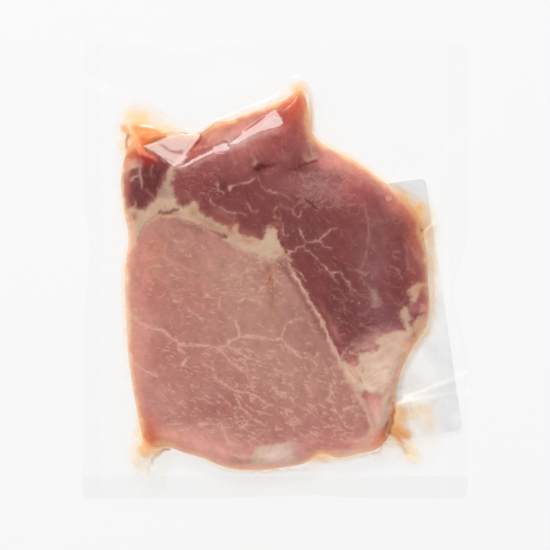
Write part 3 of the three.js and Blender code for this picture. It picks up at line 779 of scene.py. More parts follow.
# %% [markdown]
# Hundreds of short flecks of fat are scattered between the main veins. Their places, lengths and
# leans are drawn at random with a fixed seed: in the eye they lean down to the right, as its
# fibres run, and they are sparser in the dark muscle. Along the seam below the eye's edge, short
# threads fray out to the left.


# %% Flecks of fat
def scatter_flecks(seed, count, low, high, lean, spread, longest, widest=0.32):
    """Short bent strokes: a random start, a lean about the given one, and a small bend."""
    draw = np.random.default_rng(seed)
    start = draw.uniform(low, high, (count, 2))
    turn = np.radians(draw.normal(lean, spread, count))
    bend = draw.normal(0, 0.25, count)
    length = longest * draw.uniform(0.2, 1, count) ** 1.6
    first = np.stack([np.cos(turn), np.sin(turn)], axis=1) * length[:, None] / 2
    second = np.stack([np.cos(turn + bend), np.sin(turn + bend)], axis=1) * length[:, None] / 2
    points = np.stack([start, start + first, start + first + second], axis=1)
    widths = draw.uniform(0.08, widest, count)
    return [(stroke, wide, wide * 0.5) for stroke, wide in zip(points, widths)]


def fray_threads(seed, count, line, lean, longest):
    """Short strokes that start at random places on a line and lean away from it."""
    draw = np.random.default_rng(seed)
    line = np.asarray(line, float)
    share = draw.uniform(0, len(line) - 1, count)
    start = np.stack([np.interp(share, np.arange(len(line)), line[:, i]) for i in (0, 1)], axis=1)
    turn = np.radians(draw.normal(lean, 16, count))
    run = np.stack([np.cos(turn), np.sin(turn)], axis=1) * (longest * draw.uniform(0.3, 1, count))[:, None]
    return [(np.array([at, at + way]), 0.25, 0.05) for at, way in zip(start, run)]


FLECKS = (
    scatter_flecks(31, 440, (-62, -80), (42, -2), -22, 18, 3.4, 0.3)
    + scatter_flecks(32, 300, (-50, -74), (-10, -32), -18, 16, 3.4, 0.34)
    + scatter_flecks(42, 360, (-18, -76), (38, -34), -28, 18, 4.2, 0.46)
    + scatter_flecks(33, 120, (-56, -14), (5, 14), -8, 18, 3.6)
    + scatter_flecks(34, 60, (-20, -12), (4, 4), 8, 24, 2.6, 0.4)
    + scatter_flecks(35, 420, (-46, -34), (62, 46), -38, 46, 2.2, 0.26)
    + scatter_flecks(36, 26, (-20, 46), (12, 72), -72, 10, 6, 0.22)
    + scatter_flecks(37, 220, (8, 27), (34, 43), 10, 26, 4.6, 0.4)
    + scatter_flecks(41, 90, (-44, 32), (-24, 48), -30, 30, 3, 0.4)
    + scatter_flecks(38, 40, (24, -24), (40, -2), -50, 18, 3, 0.3)
    + fray_threads(39, 90, [(24, -31), (29, -42), (33, -50), (38, -58), (42, -67)], 172, 2.4)
    + fray_threads(40, 30, [(-34, 20), (-20, 12), (-8, 6), (4, 5)], -70, 2.2)
)
print(len(FLECKS), "flecks,", len(VEINS), "veins and", len(FAINT_VEINS), "faint veins")

# %% [markdown]
# The mesh of the slice comes next: a square grid bent onto the outline, with rings that crowd
# together towards the edge, where the surface turns down.

# %% Grid of the slice
SLICE_CELLS = 288
BOTTOM_EVERY = 6
EDGE_CROWDING = 1.22
ring = np.linspace(-1, 1, SLICE_CELLS + 1)
square_u, square_v = np.meshgrid(ring, ring)
size = np.maximum(abs(square_u), abs(square_v))
safe = np.where(size == 0, 1, size)
u_share, v_share = square_u / safe, square_v / safe
sideways = abs(square_u) >= abs(square_v)
turn = np.where(
    sideways,
    np.where(square_u > 0, 0, np.pi) + np.where(square_u > 0, 1, -1) * np.pi / 4 * v_share,
    np.where(square_v > 0, np.pi / 2, -np.pi / 2) - np.where(square_v > 0, 1, -1) * np.pi / 4 * u_share,
)
slice_radius = (1 - (1 - size) ** EDGE_CROWDING) * reach_at(turn)
slice_x = SLICE_MIDDLE[0] + slice_radius * np.cos(turn)
slice_y = SLICE_MIDDLE[1] + slice_radius * np.sin(turn)
slice_heights = Heights(slice_x, slice_y, FACET_PLANES)
print("cell size near the middle, mm:", round(float(np.diff(slice_x[SLICE_CELLS // 2]).max()), 2))

# %% Fields of the slice
sx, sy = slice_x.ravel(), slice_y.ravel()
WOBBLE = 0.3
RIPPLE = 0.22
wobble_x = sx + WOBBLE * slow_noise(sx, sy, 5, 41) + RIPPLE * slow_noise(sx, sy, 1.8, 43)
wobble_y = sy + WOBBLE * slow_noise(sx, sy, 5, 42) + RIPPLE * slow_noise(sx, sy, 1.8, 44)
eye_depth = depth_inside(wobble_x, wobble_y, closed_curve(EYE_MUSCLE, 4))
small_depth = depth_inside(wobble_x, wobble_y, closed_curve(SMALL_MUSCLE, 4))
fat_depth = np.max([
    depth_inside(wobble_x, wobble_y, closed_curve(area, 3)) for area in FAT_AREAS.values()
], axis=0)
vein_depth = stroke_field(wobble_x, wobble_y, VEINS)
faint_depth = stroke_field(wobble_x, wobble_y, FAINT_VEINS)
fleck_depth = stroke_field(sx, sy, FLECKS)
crease_depth = stroke_field(wobble_x, wobble_y, CREASES.values())
in_fat = step(fat_depth, -0.3, 0.6)
in_eye = step(eye_depth, -1.3, 0.1)
slice_depth = slice_heights.depth.ravel()

# %% [markdown]
# ## The slice's colours
#
# Raw pork isn't one pink. The eye is pale and tan, the side muscle is a deep wine red, the flap
# is redder towards its thin edge, and there are milky patches where a thin skin of connective
# tissue lies over the flesh. Such colours are painted as in watercolour, layer over layer: soft
# washes, each a leaning ellipse, then shapes with an edge, then thin strokes. Towards the rim the
# slice is thin and full of juice, so light comes through it and it turns to peach and cream.
# Colours are given as they look on a screen and are turned into linear light.


# %% A paint layer
FAINTEST = 0.01
WASH_END = 2.2


def linear(*screen):
    """Screen values from 0 to 255 as linear light: the inverse of the screen's curve."""
    share = np.array(screen, float) / 255
    return np.where(share <= 0.04045, share / 12.92, ((share + 0.055) / 1.055) ** 2.4)


class Paint:
    """A colour for each of a set of places, and how much of each place is covered."""

    def __init__(self, x, y, screen):
        self.x, self.y = x, y
        self.colour = np.tile(linear(*screen), (x.size, 1))
        self.cover = np.zeros(x.size)

    def lay(self, near, screen, share):
        self.colour[near] += (linear(*screen) - self.colour[near]) * share[:, None]
        self.cover[near] = 1 - (1 - self.cover[near]) * (1 - share)

    def wash(self, x, y, along, across, lean, red, green, blue, strength):
        """A bell over an ellipse that leans by an angle: one reach along it and one across."""
        near = nearby(self.x, self.y, [(x, y)], WASH_END * max(along, across))
        cos, sin = np.cos(np.radians(lean)), np.sin(np.radians(lean))
        dx, dy = self.x[near] - x, self.y[near] - y
        far = np.hypot((dx * cos + dy * sin) / along, (dy * cos - dx * sin) / across)
        self.lay(near, (red, green, blue), strength * np.clip(bell(far, 1) - FAINTEST, 0, 1))

    def area(self, corners, screen, strength, soft):
        near = nearby(self.x, self.y, corners, soft + 1)
        depth = depth_inside(self.x[near], self.y[near], corners)
        self.lay(near, screen, strength * step(depth, -soft, soft))

    def stroke(self, points, start, end, screen, strength, soft=0.5):
        near = nearby(self.x, self.y, points, 2)
        field = stroke_field(self.x[near], self.y[near], [(points, start, end)])
        self.lay(near, screen, strength * step(field, -soft, soft))


# %% Washes, areas and strokes
# Each wash: x, y, reach along and across, lean in degrees, red, green, blue and strength
EYE_WASHES = [
    (-59, -30, 7, 50, -4, 222, 156, 140, 0.85), (-56, 5, 9, 9, 0, 204, 136, 116, 0.8),
    (-53, 9, 4.5, 4.5, 0, 200, 124, 100, 0.7), (-60, 6.5, 4, 4, 0, 216, 146, 134, 0.7),
    (-44, 16, 12, 6, -15, 180, 126, 108, 0.7), (-16, -4, 26, 14, -20, 192, 144, 126, 0.85),
    (-5, -28, 20, 14, -30, 188, 138, 122, 0.65), (10, -22, 7, 14, 20, 172, 122, 112, 0.5),
    (16, -34, 9, 16, 25, 170, 116, 107, 0.7), (-38, -10, 12, 9, 0, 190, 124, 108, 0.6),
    (-54, -12, 6, 9, 0, 186, 110, 100, 0.6), (-50, -36, 8, 8, 0, 186, 114, 104, 0.55),
    (-24, -58, 20, 9, -12, 174, 110, 101, 0.75), (-54, -60, 7, 14, -10, 206, 138, 130, 0.7),
    (-34, -78, 24, 6, -8, 244, 174, 160, 0.85), (-48, -74, 9, 4, -6, 250, 172, 148, 0.6),
    (-34, -71, 14, 4, -6, 222, 158, 144, 0.5), (-44, -56, 7, 6, 0, 212, 152, 138, 0.45),
    (36, -74, 7, 4, 20, 226, 146, 134, 0.4), (-6, -1.4, 4, 5, 0, 168, 112, 94, 0.6),
    (-36, 19, 8, 2, -18, 154, 100, 88, 0.7), (8, -46, 22, 12, -25, 192, 140, 126, 0.65),
    (18, -66, 18, 9, -10, 190, 126, 118, 0.7), (8, -80, 22, 4.5, -4, 222, 152, 146, 0.8),
    (26, -78, 12, 5, 0, 214, 136, 126, 0.75), (-1.8, -3, 2.4, 6, 8, 176, 112, 90, 0.6),
    (-1.2, -12, 1.5, 8, 8, 170, 108, 84, 0.6), (4, 2, 3.4, 2.6, -20, 158, 106, 92, 0.7),
    (-38, 4, 5, 3, -20, 184, 114, 94, 0.6), (-23, -69, 4, 2.6, 0, 222, 164, 148, 0.5),
    (-29, -53, 5, 4, 0, 204, 148, 136, 0.5), (10, -77, 4, 3, 0, 224, 164, 160, 0.6),
]
DARK_WASHES = [
    (-4, 58, 17, 11, 24, 178, 92, 88, 0.85), (-15, 53, 9, 6, 20, 198, 120, 112, 0.7),
    (-14, 62.5, 14, 3.4, 24, 226, 148, 132, 0.8), (3, 57, 6, 5, 20, 148, 66, 64, 0.75),
    (-30, 52, 12, 8, 25, 176, 98, 94, 0.8), (-27.4, 59.6, 6, 3.4, 34, 224, 152, 132, 0.9),
    (-32.5, 57.5, 2.4, 3, 20, 176, 76, 64, 0.85), (-34.6, 53, 3, 5, -25, 190, 92, 82, 0.9),
    (-31, 48.8, 7, 1.6, 28, 220, 156, 148, 0.6), (-13, 56.8, 8, 2, 27, 236, 192, 184, 0.75),
    (-1, 61.4, 6, 2, 20, 230, 184, 176, 0.75), (-20, 58, 6, 2, 26, 232, 176, 162, 0.6),
    (-20, 55, 2, 1.6, 0, 240, 200, 192, 0.9), (5, 68, 9, 7, 20, 192, 82, 66, 0.9),
    (10, 73, 4, 5, 0, 214, 92, 60, 0.95), (-36, 40, 10, 8, 0, 152, 74, 72, 0.75),
    (-23, 37, 7, 4, 0, 106, 34, 36, 0.6), (10, 42.6, 5, 2.6, 10, 116, 44, 44, 0.6),
    (10, 31, 5, 4, 0, 118, 48, 48, 0.5), (31, -5, 5, 6, 0, 100, 36, 38, 0.5),
    (26.4, -27.4, 1.6, 5, 24, 212, 136, 122, 0.75), (22.6, -19.4, 1.2, 6, 28, 188, 110, 102, 0.6),
    (-42.5, 44, 3, 2.4, 0, 196, 124, 108, 0.7), (-15, 45, 14, 5, 15, 158, 86, 84, 0.6),
    # The first wash here, near-black in the dimple, is partly dark meat and partly painted shade.
    (-6.4, 44.8, 3.2, 1.9, 8, 98, 6, 8, 0.98), (-6.2, 41, 1.3, 4, -4, 116, 46, 48, 0.8),
    (1, 47.2, 5, 0.8, 10, 118, 44, 46, 0.7), (-8.6, 46.8, 1.2, 0.8, 20, 214, 146, 124, 0.7),
    (-42.6, 43, 1.2, 4, -10, 120, 56, 54, 0.5), (20, 36, 15, 6.5, 4, 166, 108, 106, 0.85),
    (8, 40, 9, 5, 10, 156, 92, 90, 0.6), (30, 46, 16, 4.5, -27, 228, 152, 140, 0.95),
    (47, 36, 11, 4, -42, 204, 130, 118, 0.85), (56, 26, 5, 9, 40, 176, 84, 66, 0.8),
    (46, 20, 12, 14, -20, 142, 80, 78, 0.7), (56, 14, 7, 2.6, 10, 128, 56, 52, 0.7),
    (62, 6, 4.5, 9, 4, 176, 98, 92, 0.8), (64.4, -12, 3.6, 9, 0, 172, 94, 90, 0.75),
    (43, 0, 5, 5, 0, 152, 100, 104, 0.7), (42, 4, 8, 16, -8, 142, 88, 88, 0.6),
    (46, -19, 11, 8, -20, 140, 86, 90, 0.65), (50, -25.6, 6, 2.6, 4, 160, 108, 110, 0.75),
    (14, 17, 12, 10, -30, 120, 62, 62, 0.6), (30, -18, 8, 12, 30, 118, 60, 62, 0.6),
    (28, -33, 3.4, 7, 28, 150, 76, 76, 0.55), (46, -29.6, 8, 3.2, 10, 204, 148, 138, 0.8),
    (36, -34.4, 4, 2.4, 20, 158, 88, 84, 0.6), (34, -39.6, 3.4, 2.8, -20, 186, 112, 102, 0.9),
    (35, 35, 9, 7, -27, 190, 98, 94, 0.6), (43.6, -58, 5, 7, 20, 226, 156, 142, 0.98),
    (44.6, -65, 3, 6, 10, 234, 186, 166, 0.95), (-20, 20, 6, 2.6, -30, 160, 92, 74, 0.7),
    (-11, 16, 6, 2, 0, 158, 92, 84, 0.6), (0.6, 21, 1.8, 2.4, 0, 142, 80, 66, 0.8),
    (-38, 32, 4, 2, -30, 164, 100, 92, 0.6), (38, -79, 13, 4, 12, 226, 154, 130, 0.9),
    (43, -75.6, 4, 2.6, 20, 228, 164, 144, 0.9), (47, -74, 4, 3, 30, 216, 130, 92, 0.9),
    (41.6, -34.4, 6, 2.4, -12, 218, 166, 154, 0.75), (10, 43.4, 4, 2, 10, 118, 54, 52, 0.8),
    (59.6, 13, 4, 2.4, 0, 134, 56, 48, 0.6), (52, 28, 4, 4, -40, 214, 132, 120, 0.6),
    (4, 49, 3, 2, 10, 172, 108, 102, 0.6), (-23, 25, 4, 2, -30, 172, 110, 100, 0.6),
    (43.6, -12, 1.8, 3.6, 0, 172, 136, 128, 0.7), (34.6, -41, 2.2, 1.2, 0, 220, 162, 138, 0.9),
    (61, -17, 1.6, 2, 0, 184, 116, 112, 0.7), (13.4, 60, 2.2, 4, 0, 172, 70, 52, 0.6),
    (22, 46.4, 4, 3, -20, 236, 152, 146, 0.6), (10, 31, 3, 3, 0, 116, 50, 50, 0.6),
]
SMALL_WASHES = [
    (-64.5, 37, 2.4, 9, 0, 170, 88, 82, 0.8), (-60.6, 41, 2.6, 2, 40, 150, 92, 90, 0.6),
    (-57, 48.6, 5, 2.4, -14, 160, 26, 20, 0.98), (-49, 46.6, 3, 2, 20, 140, 66, 64, 0.6),
    (-60, 33, 3.5, 4, 0, 128, 66, 68, 0.5),
]
FAT_WASHES = [
    (-48, 40, 2.4, 4.6, -10, 176, 144, 128, 0.85), (-49.6, 34.4, 2.4, 2, 0, 162, 132, 118, 0.8),
    (-46, 31, 3, 2.4, 0, 208, 176, 148, 0.7), (-58, 23, 5, 3, 35, 206, 176, 150, 0.6),
    (-61, 16, 2.4, 4, 0, 214, 178, 158, 0.7), (-64, 18, 1.8, 8, 0, 236, 184, 144, 0.8),
    (-63.6, 9.6, 3, 2, 0, 226, 196, 170, 0.8), (-61.8, 23.4, 1.8, 1.8, 0, 190, 112, 98, 0.85),
    (-35.6, 25.8, 2, 2.2, 0, 190, 144, 102, 0.8), (-38, 28, 3.4, 1, 0, 190, 150, 116, 0.6),
    (-19, 17.2, 2.6, 1.4, -20, 182, 118, 86, 0.8), (-12, 13, 4, 1.2, -4, 196, 142, 100, 0.85),
    (-2.4, 11, 3.6, 5, 0, 212, 186, 158, 0.8), (-10, 9, 6, 1.4, -12, 208, 182, 152, 0.7),
    (0.4, 7.2, 1.4, 0.8, 0, 190, 146, 122, 0.8), (-29, 19.8, 7, 2.4, -28, 178, 132, 110, 0.8),
    (-62.4, 46.8, 3.4, 1.6, 0, 214, 164, 134, 0.9), (46, -43, 9, 9, 0, 242, 208, 186, 0.95),
    (34, -45.4, 4.8, 3, -50, 246, 204, 178, 0.9), (56.4, -34, 2.8, 8, -14, 246, 202, 174, 0.8),
    (43, -35, 4, 2.4, 0, 242, 204, 184, 0.7), (4.4, 6.6, 2, 1.6, 0, 170, 112, 90, 0.7),
    (56, -28.4, 3.4, 2, 0, 232, 190, 168, 0.8), (52, -33, 5, 3, 0, 228, 196, 172, 0.8),
    (42, -51.4, 4, 2.4, -20, 250, 220, 198, 0.7), (0, -81, 8, 4, 0, 240, 208, 198, 0.95),
    (62.4, -8.6, 3, 3, 0, 206, 150, 118, 0.9), (57.6, -21, 2, 4, 0, 196, 164, 142, 0.8),
    (64.6, -25, 3.6, 3, 0, 226, 172, 140, 0.85), (61.2, -28.4, 0.9, 1.1, 0, 206, 122, 96, 0.9),
    (58.5, -34, 2, 3, 0, 230, 176, 140, 0.7), (15, 51.6, 3.4, 5, 0, 166, 98, 90, 1),
    (-48.6, 34, 3, 2, 0, 166, 130, 112, 0.7), (-46, 25, 4, 1.2, 0, 160, 102, 80, 0.6),
    (0, -85.6, 8, 2, 0, 250, 214, 196, 0.8), (-20, 16, 2, 1.4, -20, 190, 136, 110, 0.7),
]
# Each area: its corners, colour, strength and the softness of its edge in mm
TOP_AREAS = [
    ([(-56.5, 54.5), (-50, 56.8), (-42.5, 58.9), (-34.4, 59.1), (-35.6, 56.6), (-39.9, 50.2), (-41, 46.6),
      (-43, 45.8), (-47.8, 48.9), (-52.6, 52.3)], (176, 116, 92), 0.95, 0.4),
    ([(-51.5, 55.3), (-49.4, 55.1), (-47.8, 54.2), (-46, 52.9), (-44, 52.4), (-42, 52.3), (-40.3, 52.8),
      (-40.1, 51.4), (-41.5, 50.5), (-43.5, 50.8), (-46, 51.7), (-48.5, 53.3), (-50.5, 54.6)],
     (156, 70, 74), 1, 0.4),
    ([(-24.6, 54.2), (-22.4, 55.4), (-20.6, 55), (-20.2, 53), (-22, 52.6), (-24.4, 52.8), (-30, 50.6),
      (-35, 48.2), (-39, 46), (-37, 47.4), (-30, 51.2)], (184, 130, 116), 0.75, 0.5),
    ([(-18, 55.9), (-14, 58), (-8, 62), (-4, 65.2), (-1.6, 67.8), (-0.4, 69), (0.4, 68.4),
      (1.6, 67), (2.8, 65), (3, 64.2), (0.5, 63.2), (-4, 62.2), (-8, 60.8), (-12, 58.8), (-16, 56.4)],
     (192, 146, 134), 0.75, 0.4),
    # This patch at the triangle's lower tip is a painted highlight: a lighter pink where the film's
    # reflection falls short.
    ([(-44.8, 46.8), (-42.8, 45), (-40.4, 45.4), (-39.6, 47.6), (-39.4, 50.6), (-42, 49.4)],
     (190, 134, 126), 0.9, 0.4),
    ([(-60.9, 56), (-58.4, 54.2), (-54.6, 51), (-51.4, 48.2), (-53.4, 48.2), (-56.5, 49.7), (-59.4, 50.8),
      (-61.4, 53)], (240, 130, 92), 0.95, 0.45),
    ([(46.8, -55), (49.6, -51.4), (53, -50.5), (53, -56), (51.2, -61.5), (50, -65), (47.6, -70),
      (45.6, -69),
      (46.4, -62)], (214, 176, 158), 0.9, 0.8),
    ([(63.8, -14.6), (65.6, -15.4), (66.4, -18), (64.4, -17.8)], (206, 140, 130), 0.6, 0.5),
    ([(48.6, 32.4), (50.4, 32.8), (51.4, 31.2), (50.2, 30.6), (48.8, 31.2)], (214, 156, 144), 0.8, 0.4),
]
TOP_WASHES = [
    # The second wash here, near-black in the dimple, is partly dark meat and partly painted shade.
    (-57, 58, 7, 3.4, 8, 246, 150, 84, 0.95), (-6.6, 45, 2.4, 1.2, 8, 72, 0, 2, 0.9),
    (-28.6, 60.6, 3.6, 1.8, 34, 200, 122, 100, 0.85), (62.4, 13, 3, 4, 0, 180, 90, 66, 0.7),
    # The washes at (-36, -80.2), (-24, -84.2), (24, -80.2), (34, -80.4), (-10, -86.4) and (-47, -77.2) are
    # painted light: they lighten the slice's lower edge, whose slope faces away from the lamp.
    (-60, 57.4, 5, 3, -20, 240, 134, 72, 0.5), (-36, -80.2, 12, 1.5, -16, 252, 192, 172, 0.6),
    (-24, -84.2, 8, 1.5, -24, 250, 188, 170, 0.6), (24, -80.2, 9, 1.4, 0, 248, 184, 160, 0.6),
    (47.4, -76.2, 3.4, 1.6, 42, 214, 118, 74, 0.8), (7.6, 72.4, 4, 4, 20, 212, 96, 64, 0.5),
    (13, 73, 1.4, 4, 0, 232, 126, 90, 0.75), (-57, 47.8, 3, 1.6, -10, 140, 10, 10, 0.7),
    (-34, 47.2, 4, 1.4, 30, 218, 154, 148, 0.5), (-42, 46, 2.4, 1.4, 0, 216, 166, 158, 0.7),
    (-62, 49.2, 3.4, 1.6, 0, 214, 96, 62, 0.75), (-65.4, 47.4, 1.6, 2.8, 0, 216, 142, 108, 0.75),
    (-59, 47.4, 3, 1.8, 0, 162, 52, 42, 0.6), (40, -76, 7, 3, 14, 250, 186, 170, 0.75),
    # The wash at (34, -80.4) is painted light on the slice's lower edge.
    (43.4, -71, 2.4, 2.2, 0, 240, 192, 168, 0.7), (34, -80.4, 11, 2.2, 8, 252, 202, 184, 0.7),
    (6, -83.8, 7, 2, 6, 244, 206, 192, 0.6), (64.6, -17, 1.6, 2, 0, 214, 150, 142, 0.8),
    (-58.4, 56.6, 2.2, 2.8, -10, 230, 112, 58, 0.85), (-63.5, 58, 3.4, 1.8, -50, 254, 200, 152, 0.85),
    (-65, 54.4, 2.2, 2.6, 0, 236, 160, 96, 0.98), (-60.4, 54.6, 1.8, 2.4, -40, 248, 156, 104, 0.85),
    (-53, 49.2, 2.2, 1, -28, 190, 80, 72, 0.75), (-62.8, 50.8, 2.8, 1.8, -8, 212, 96, 56, 0.95),
    (-57.8, 49.2, 3, 1.1, -12, 158, 16, 10, 1), (-63, 47.6, 2.4, 1.2, 0, 212, 150, 126, 0.7),
    (-55, -70, 3.6, 5.4, -14, 206, 112, 88, 0.85), (-54.8, -73.6, 3.4, 3.2, 0, 214, 108, 68, 0.95),
    (-56.6, -76.8, 2, 1.8, 0, 236, 146, 88, 0.95), (-52.4, -77.2, 2.6, 1.2, 10, 238, 154, 108, 0.9),
    (-58.4, -72, 1, 4.4, 10, 240, 180, 130, 0.85), (48.4, -72.4, 3.4, 2.2, 20, 216, 112, 72, 0.9),
    (46.4, -75, 3, 1.6, 20, 238, 146, 108, 0.9), (45, -78.4, 4, 1.4, 24, 252, 174, 134, 0.9),
    # Both washes on this line are painted light on the slice's lower edge.
    (-10, -86.4, 30, 1.6, 0, 244, 188, 170, 0.8), (-47, -77.2, 5, 1.4, -6, 250, 192, 160, 0.8),
    (49, -54, 2.4, 5, -10, 228, 190, 168, 0.8), (51.6, -65, 1.4, 4, -14, 176, 96, 58, 0.9),
    (49.8, -69.4, 1.5, 2.6, -12, 166, 78, 44, 0.9),
]
# Each stroke: its points, half-widths, colour and strength
TOP_STROKES = [
    ([(57.8, -32.5), (57, -37.6), (55.8, -42.8), (54.2, -48.6), (52.8, -54.6), (52, -59.6)], 1.3, 0.9,
     (240, 192, 164), 0.9),
    ([(57, -36), (56, -40.6), (54.4, -46.6), (53, -52.6)], 0.3, 0.3, (224, 158, 124), 0.6),
    ([(52, -58.6), (51.8, -62), (51.2, -65), (50.4, -67.4), (49.6, -70.6)], 0.5, 0.8, (170, 86, 52), 0.9),
    ([(51.6, -63.6), (50.2, -67.4), (49.7, -70)], 0.3, 0.4, (142, 60, 34), 0.8),
    ([(50, -71.8), (46.8, -72)], 0.4, 0.2, (196, 92, 64), 0.7),
    ([(50, -72.2), (47.4, -76.4), (46, -78.2)], 0.3, 0.6, (188, 96, 72), 0.7),
    ([(48.8, -72), (50.8, -71.6)], 0.3, 0.2, (242, 196, 166), 0.85),
    # Painted highlight: lighter pink along the triangle's right edge, where the film's reflection of the
    # lamp falls short.
    ([(-33.4, 58.4), (-35.2, 55.8), (-37.2, 52.6), (-38.8, 49.6)], 0.5, 0.5, (224, 146, 132), 0.7),
    # Painted highlight: a pale line along the triangle's lower left edge.
    ([(-56, 53.6), (-52.8, 51.6), (-48, 48.2), (-44.8, 45.9), (-42, 44.8), (-39.4, 45.6), (-36, 47.6)],
     0.3, 0.3, (208, 152, 146), 0.85),
    ([(-12, 57.6), (-10.2, 51.6), (-8.6, 46.6)], 0.15, 0.35, (206, 132, 116), 0.6),
    ([(-10, 58.4), (-7.4, 52), (-5.4, 47)], 0.15, 0.2, (202, 126, 112), 0.5),
    ([(-14.6, 56), (-13, 51.4)], 0.15, 0.15, (208, 136, 122), 0.5),
    ([(-3.4, 60.4), (0, 54), (2.4, 49)], 0.15, 0.15, (200, 122, 112), 0.45),
    ([(-29.6, 56), (-28, 59.4), (-27.4, 62)], 0.2, 0.3, (232, 160, 132), 0.6),
    ([(-35.4, 53), (-32, 53.8), (-28.6, 54.4), (-26.4, 56)], 0.3, 0.3, (220, 148, 118), 0.7),
    ([(-49.4, 49.8), (-46, 48.2), (-43.6, 46.8)], 0.2, 0.2, (96, 40, 50), 0.8),
    ([(-40, 52.2), (-38.6, 54), (-37.8, 55.8), (-36.2, 56.4)], 0.15, 0.2, (120, 60, 66), 0.6),
    ([(-37.2, 58.6), (-36.8, 57.6), (-35.6, 56.6), (-34.2, 56.8)], 0.12, 0.15, (124, 66, 72), 0.55),
    ([(-55, 53.9), (-53, 53.9)], 0.15, 0.1, (96, 60, 60), 0.7),
]
FAT_STROKES = [
    ([(-59, 13.2), (-58.2, 16.4), (-56.2, 19.2), (-53.2, 21.6), (-50, 23.1), (-46, 23.6), (-42, 23.1),
      (-38, 22), (-33, 20.2), (-28, 18)], 0.55, 0.4, (218, 172, 142), 0.8),
    ([(-60, 12.4), (-59.6, 15.6), (-58, 19), (-55, 22), (-52, 24.2), (-48, 24.8), (-43, 24.9)], 0.35, 0.3,
     (186, 124, 90), 0.75),
    ([(-29.6, 17.8), (-26, 16.2), (-22.2, 14.8)], 0.35, 0.3, (166, 114, 112), 0.8),
    ([(-48.4, 29), (-48.2, 26.6)], 0.2, 0.15, (170, 128, 100), 0.6),
    ([(-53, 29.6), (-50, 27.4)], 0.2, 0.2, (182, 142, 112), 0.5),
    ([(-17.4, 20), (-16.8, 16.6)], 0.6, 0.5, (206, 160, 134), 0.7),
    ([(0.2, 6.2), (2.2, 6.7), (4.2, 6), (6, 4.4)], 0.45, 0.45, (220, 178, 150), 0.8),
    ([(-33.8, 28.6), (-33, 26), (-31.4, 24.6)], 0.35, 0.3, (160, 100, 76), 0.7),
    ([(31.6, -42.6), (34.6, -46.2), (38.2, -49.6)], 0.25, 0.3, (178, 108, 92), 0.8),
    ([(33.4, -42.6), (35.6, -45), (37.4, -48)], 0.2, 0.2, (184, 118, 96), 0.7),
    ([(38.4, -43.6), (38.6, -45.2)], 0.5, 0.3, (190, 128, 104), 0.75),
    ([(61.6, -29.6), (60.2, -31.6), (58.6, -33.4)], 0.4, 0.4, (224, 140, 104), 0.7),
    ([(15.4, 56.4), (15.8, 53), (16.6, 50), (16.4, 48.2)], 0.4, 0.6, (200, 146, 132), 0.7),
    ([(14.2, 52.8), (13.4, 50), (13.6, 48)], 0.2, 0.4, (190, 134, 122), 0.6),
]
EYE_STROKES = [
    # Painted shade: a dark band along the eye's edge beside the dark muscle.
    ([(3, 3), (6.4, -2.4), (9.8, -8), (13.6, -14.6), (18, -22), (21.6, -29)],
     0.9, 0.9, (136, 82, 74), 0.8, 1.6),
    # Fissures, painted darker: partly darker meat, partly painted shade in the cracks.
    ([(16, -59.8), (17.6, -62), (18.6, -64.4), (19.6, -66)], 0.35, 0.3, (158, 92, 78), 0.75),
    ([(22.6, -65), (23.6, -67), (24.2, -70.4)], 0.2, 0.25, (164, 98, 86), 0.65),
    ([(19, -66), (21, -70), (22.6, -73)], 0.2, 0.15, (172, 104, 92), 0.5),
    ([(-2.6, 1), (-2, -4), (-1.2, -8)], 0.4, 0.3, (158, 92, 68), 0.6),
    ([(-4.4, 0.6), (-3.6, -3.4)], 0.25, 0.2, (164, 98, 74), 0.5),
    ([(-1.2, -8), (-0.8, -14), (-1.6, -19)], 0.25, 0.15, (166, 100, 78), 0.5),
]
# The rim of the slice: washes over a cream outer line and over a peach inner one
OUTER_RIM_WASHES = [
    (-67, 30, 4, 22, 0, 253, 234, 212, 0.9), (-65, -15, 4, 34, 0, 250, 222, 196, 0.9),
    (-65, 13, 3, 5, 0, 244, 204, 176, 0.8), (-61, -62, 5, 14, 0, 250, 214, 172, 0.9),
    (8, 74, 8, 8, 0, 250, 172, 120, 0.9), (15.6, 61, 3, 8, 0, 232, 166, 134, 0.85),
    (-20, 66, 14, 5, 20, 244, 190, 140, 0.8), (-57, 60, 7, 3, 6, 244, 152, 88, 0.98),
    (68, -5, 5, 18, 0, 218, 174, 146, 0.85), (62, 25, 8, 8, 0, 220, 150, 98, 0.9),
    (40, -80, 14, 6, 0, 238, 190, 150, 0.85),
]
INNER_RIM_WASHES = [
    (-66, 38, 4, 14, 0, 186, 108, 96, 0.9), (-64, 16, 4, 8, 0, 238, 186, 150, 0.9),
    (-65, -20, 5, 30, 0, 228, 166, 144, 0.9), (-59, -70, 6, 8, 0, 230, 132, 96, 0.85),
    (-10, -88, 32, 6, 0, 224, 156, 144, 0.9), (40, -80, 14, 6, 12, 226, 158, 126, 0.9),
    (20, -81.4, 5, 2, 0, 238, 164, 108, 0.8), (8, 72, 10, 8, 0, 222, 98, 60, 0.9),
    (-22, 64, 14, 4, 20, 228, 142, 98, 0.9), (-57, 59, 7, 3, 6, 238, 132, 72, 0.98),
    (16, 63, 3, 9, 0, 202, 120, 88, 0.85), (34, 47, 16, 5, -27, 230, 146, 124, 0.9),
    (60, 25, 8, 10, 0, 206, 116, 78, 0.9), (67, 2, 5, 12, 0, 198, 122, 100, 0.85),
    (68, -16, 4, 6, 0, 206, 126, 108, 0.8), (66, -27, 5, 6, 0, 236, 186, 148, 0.9),
]
# Direction, half-width in degrees and extra width in mm of the rim
RIM_WIDTHS = {
    "left": (188, 30, 1.2),
    "peak": (83, 7, 1.2),
    "upper right": (25, 12, 2.4),
    "top right": (55, 14, 1),
    "bottom left corner": (-130, 6, 3),
    "bottom right": (-60, 10, 2),
}

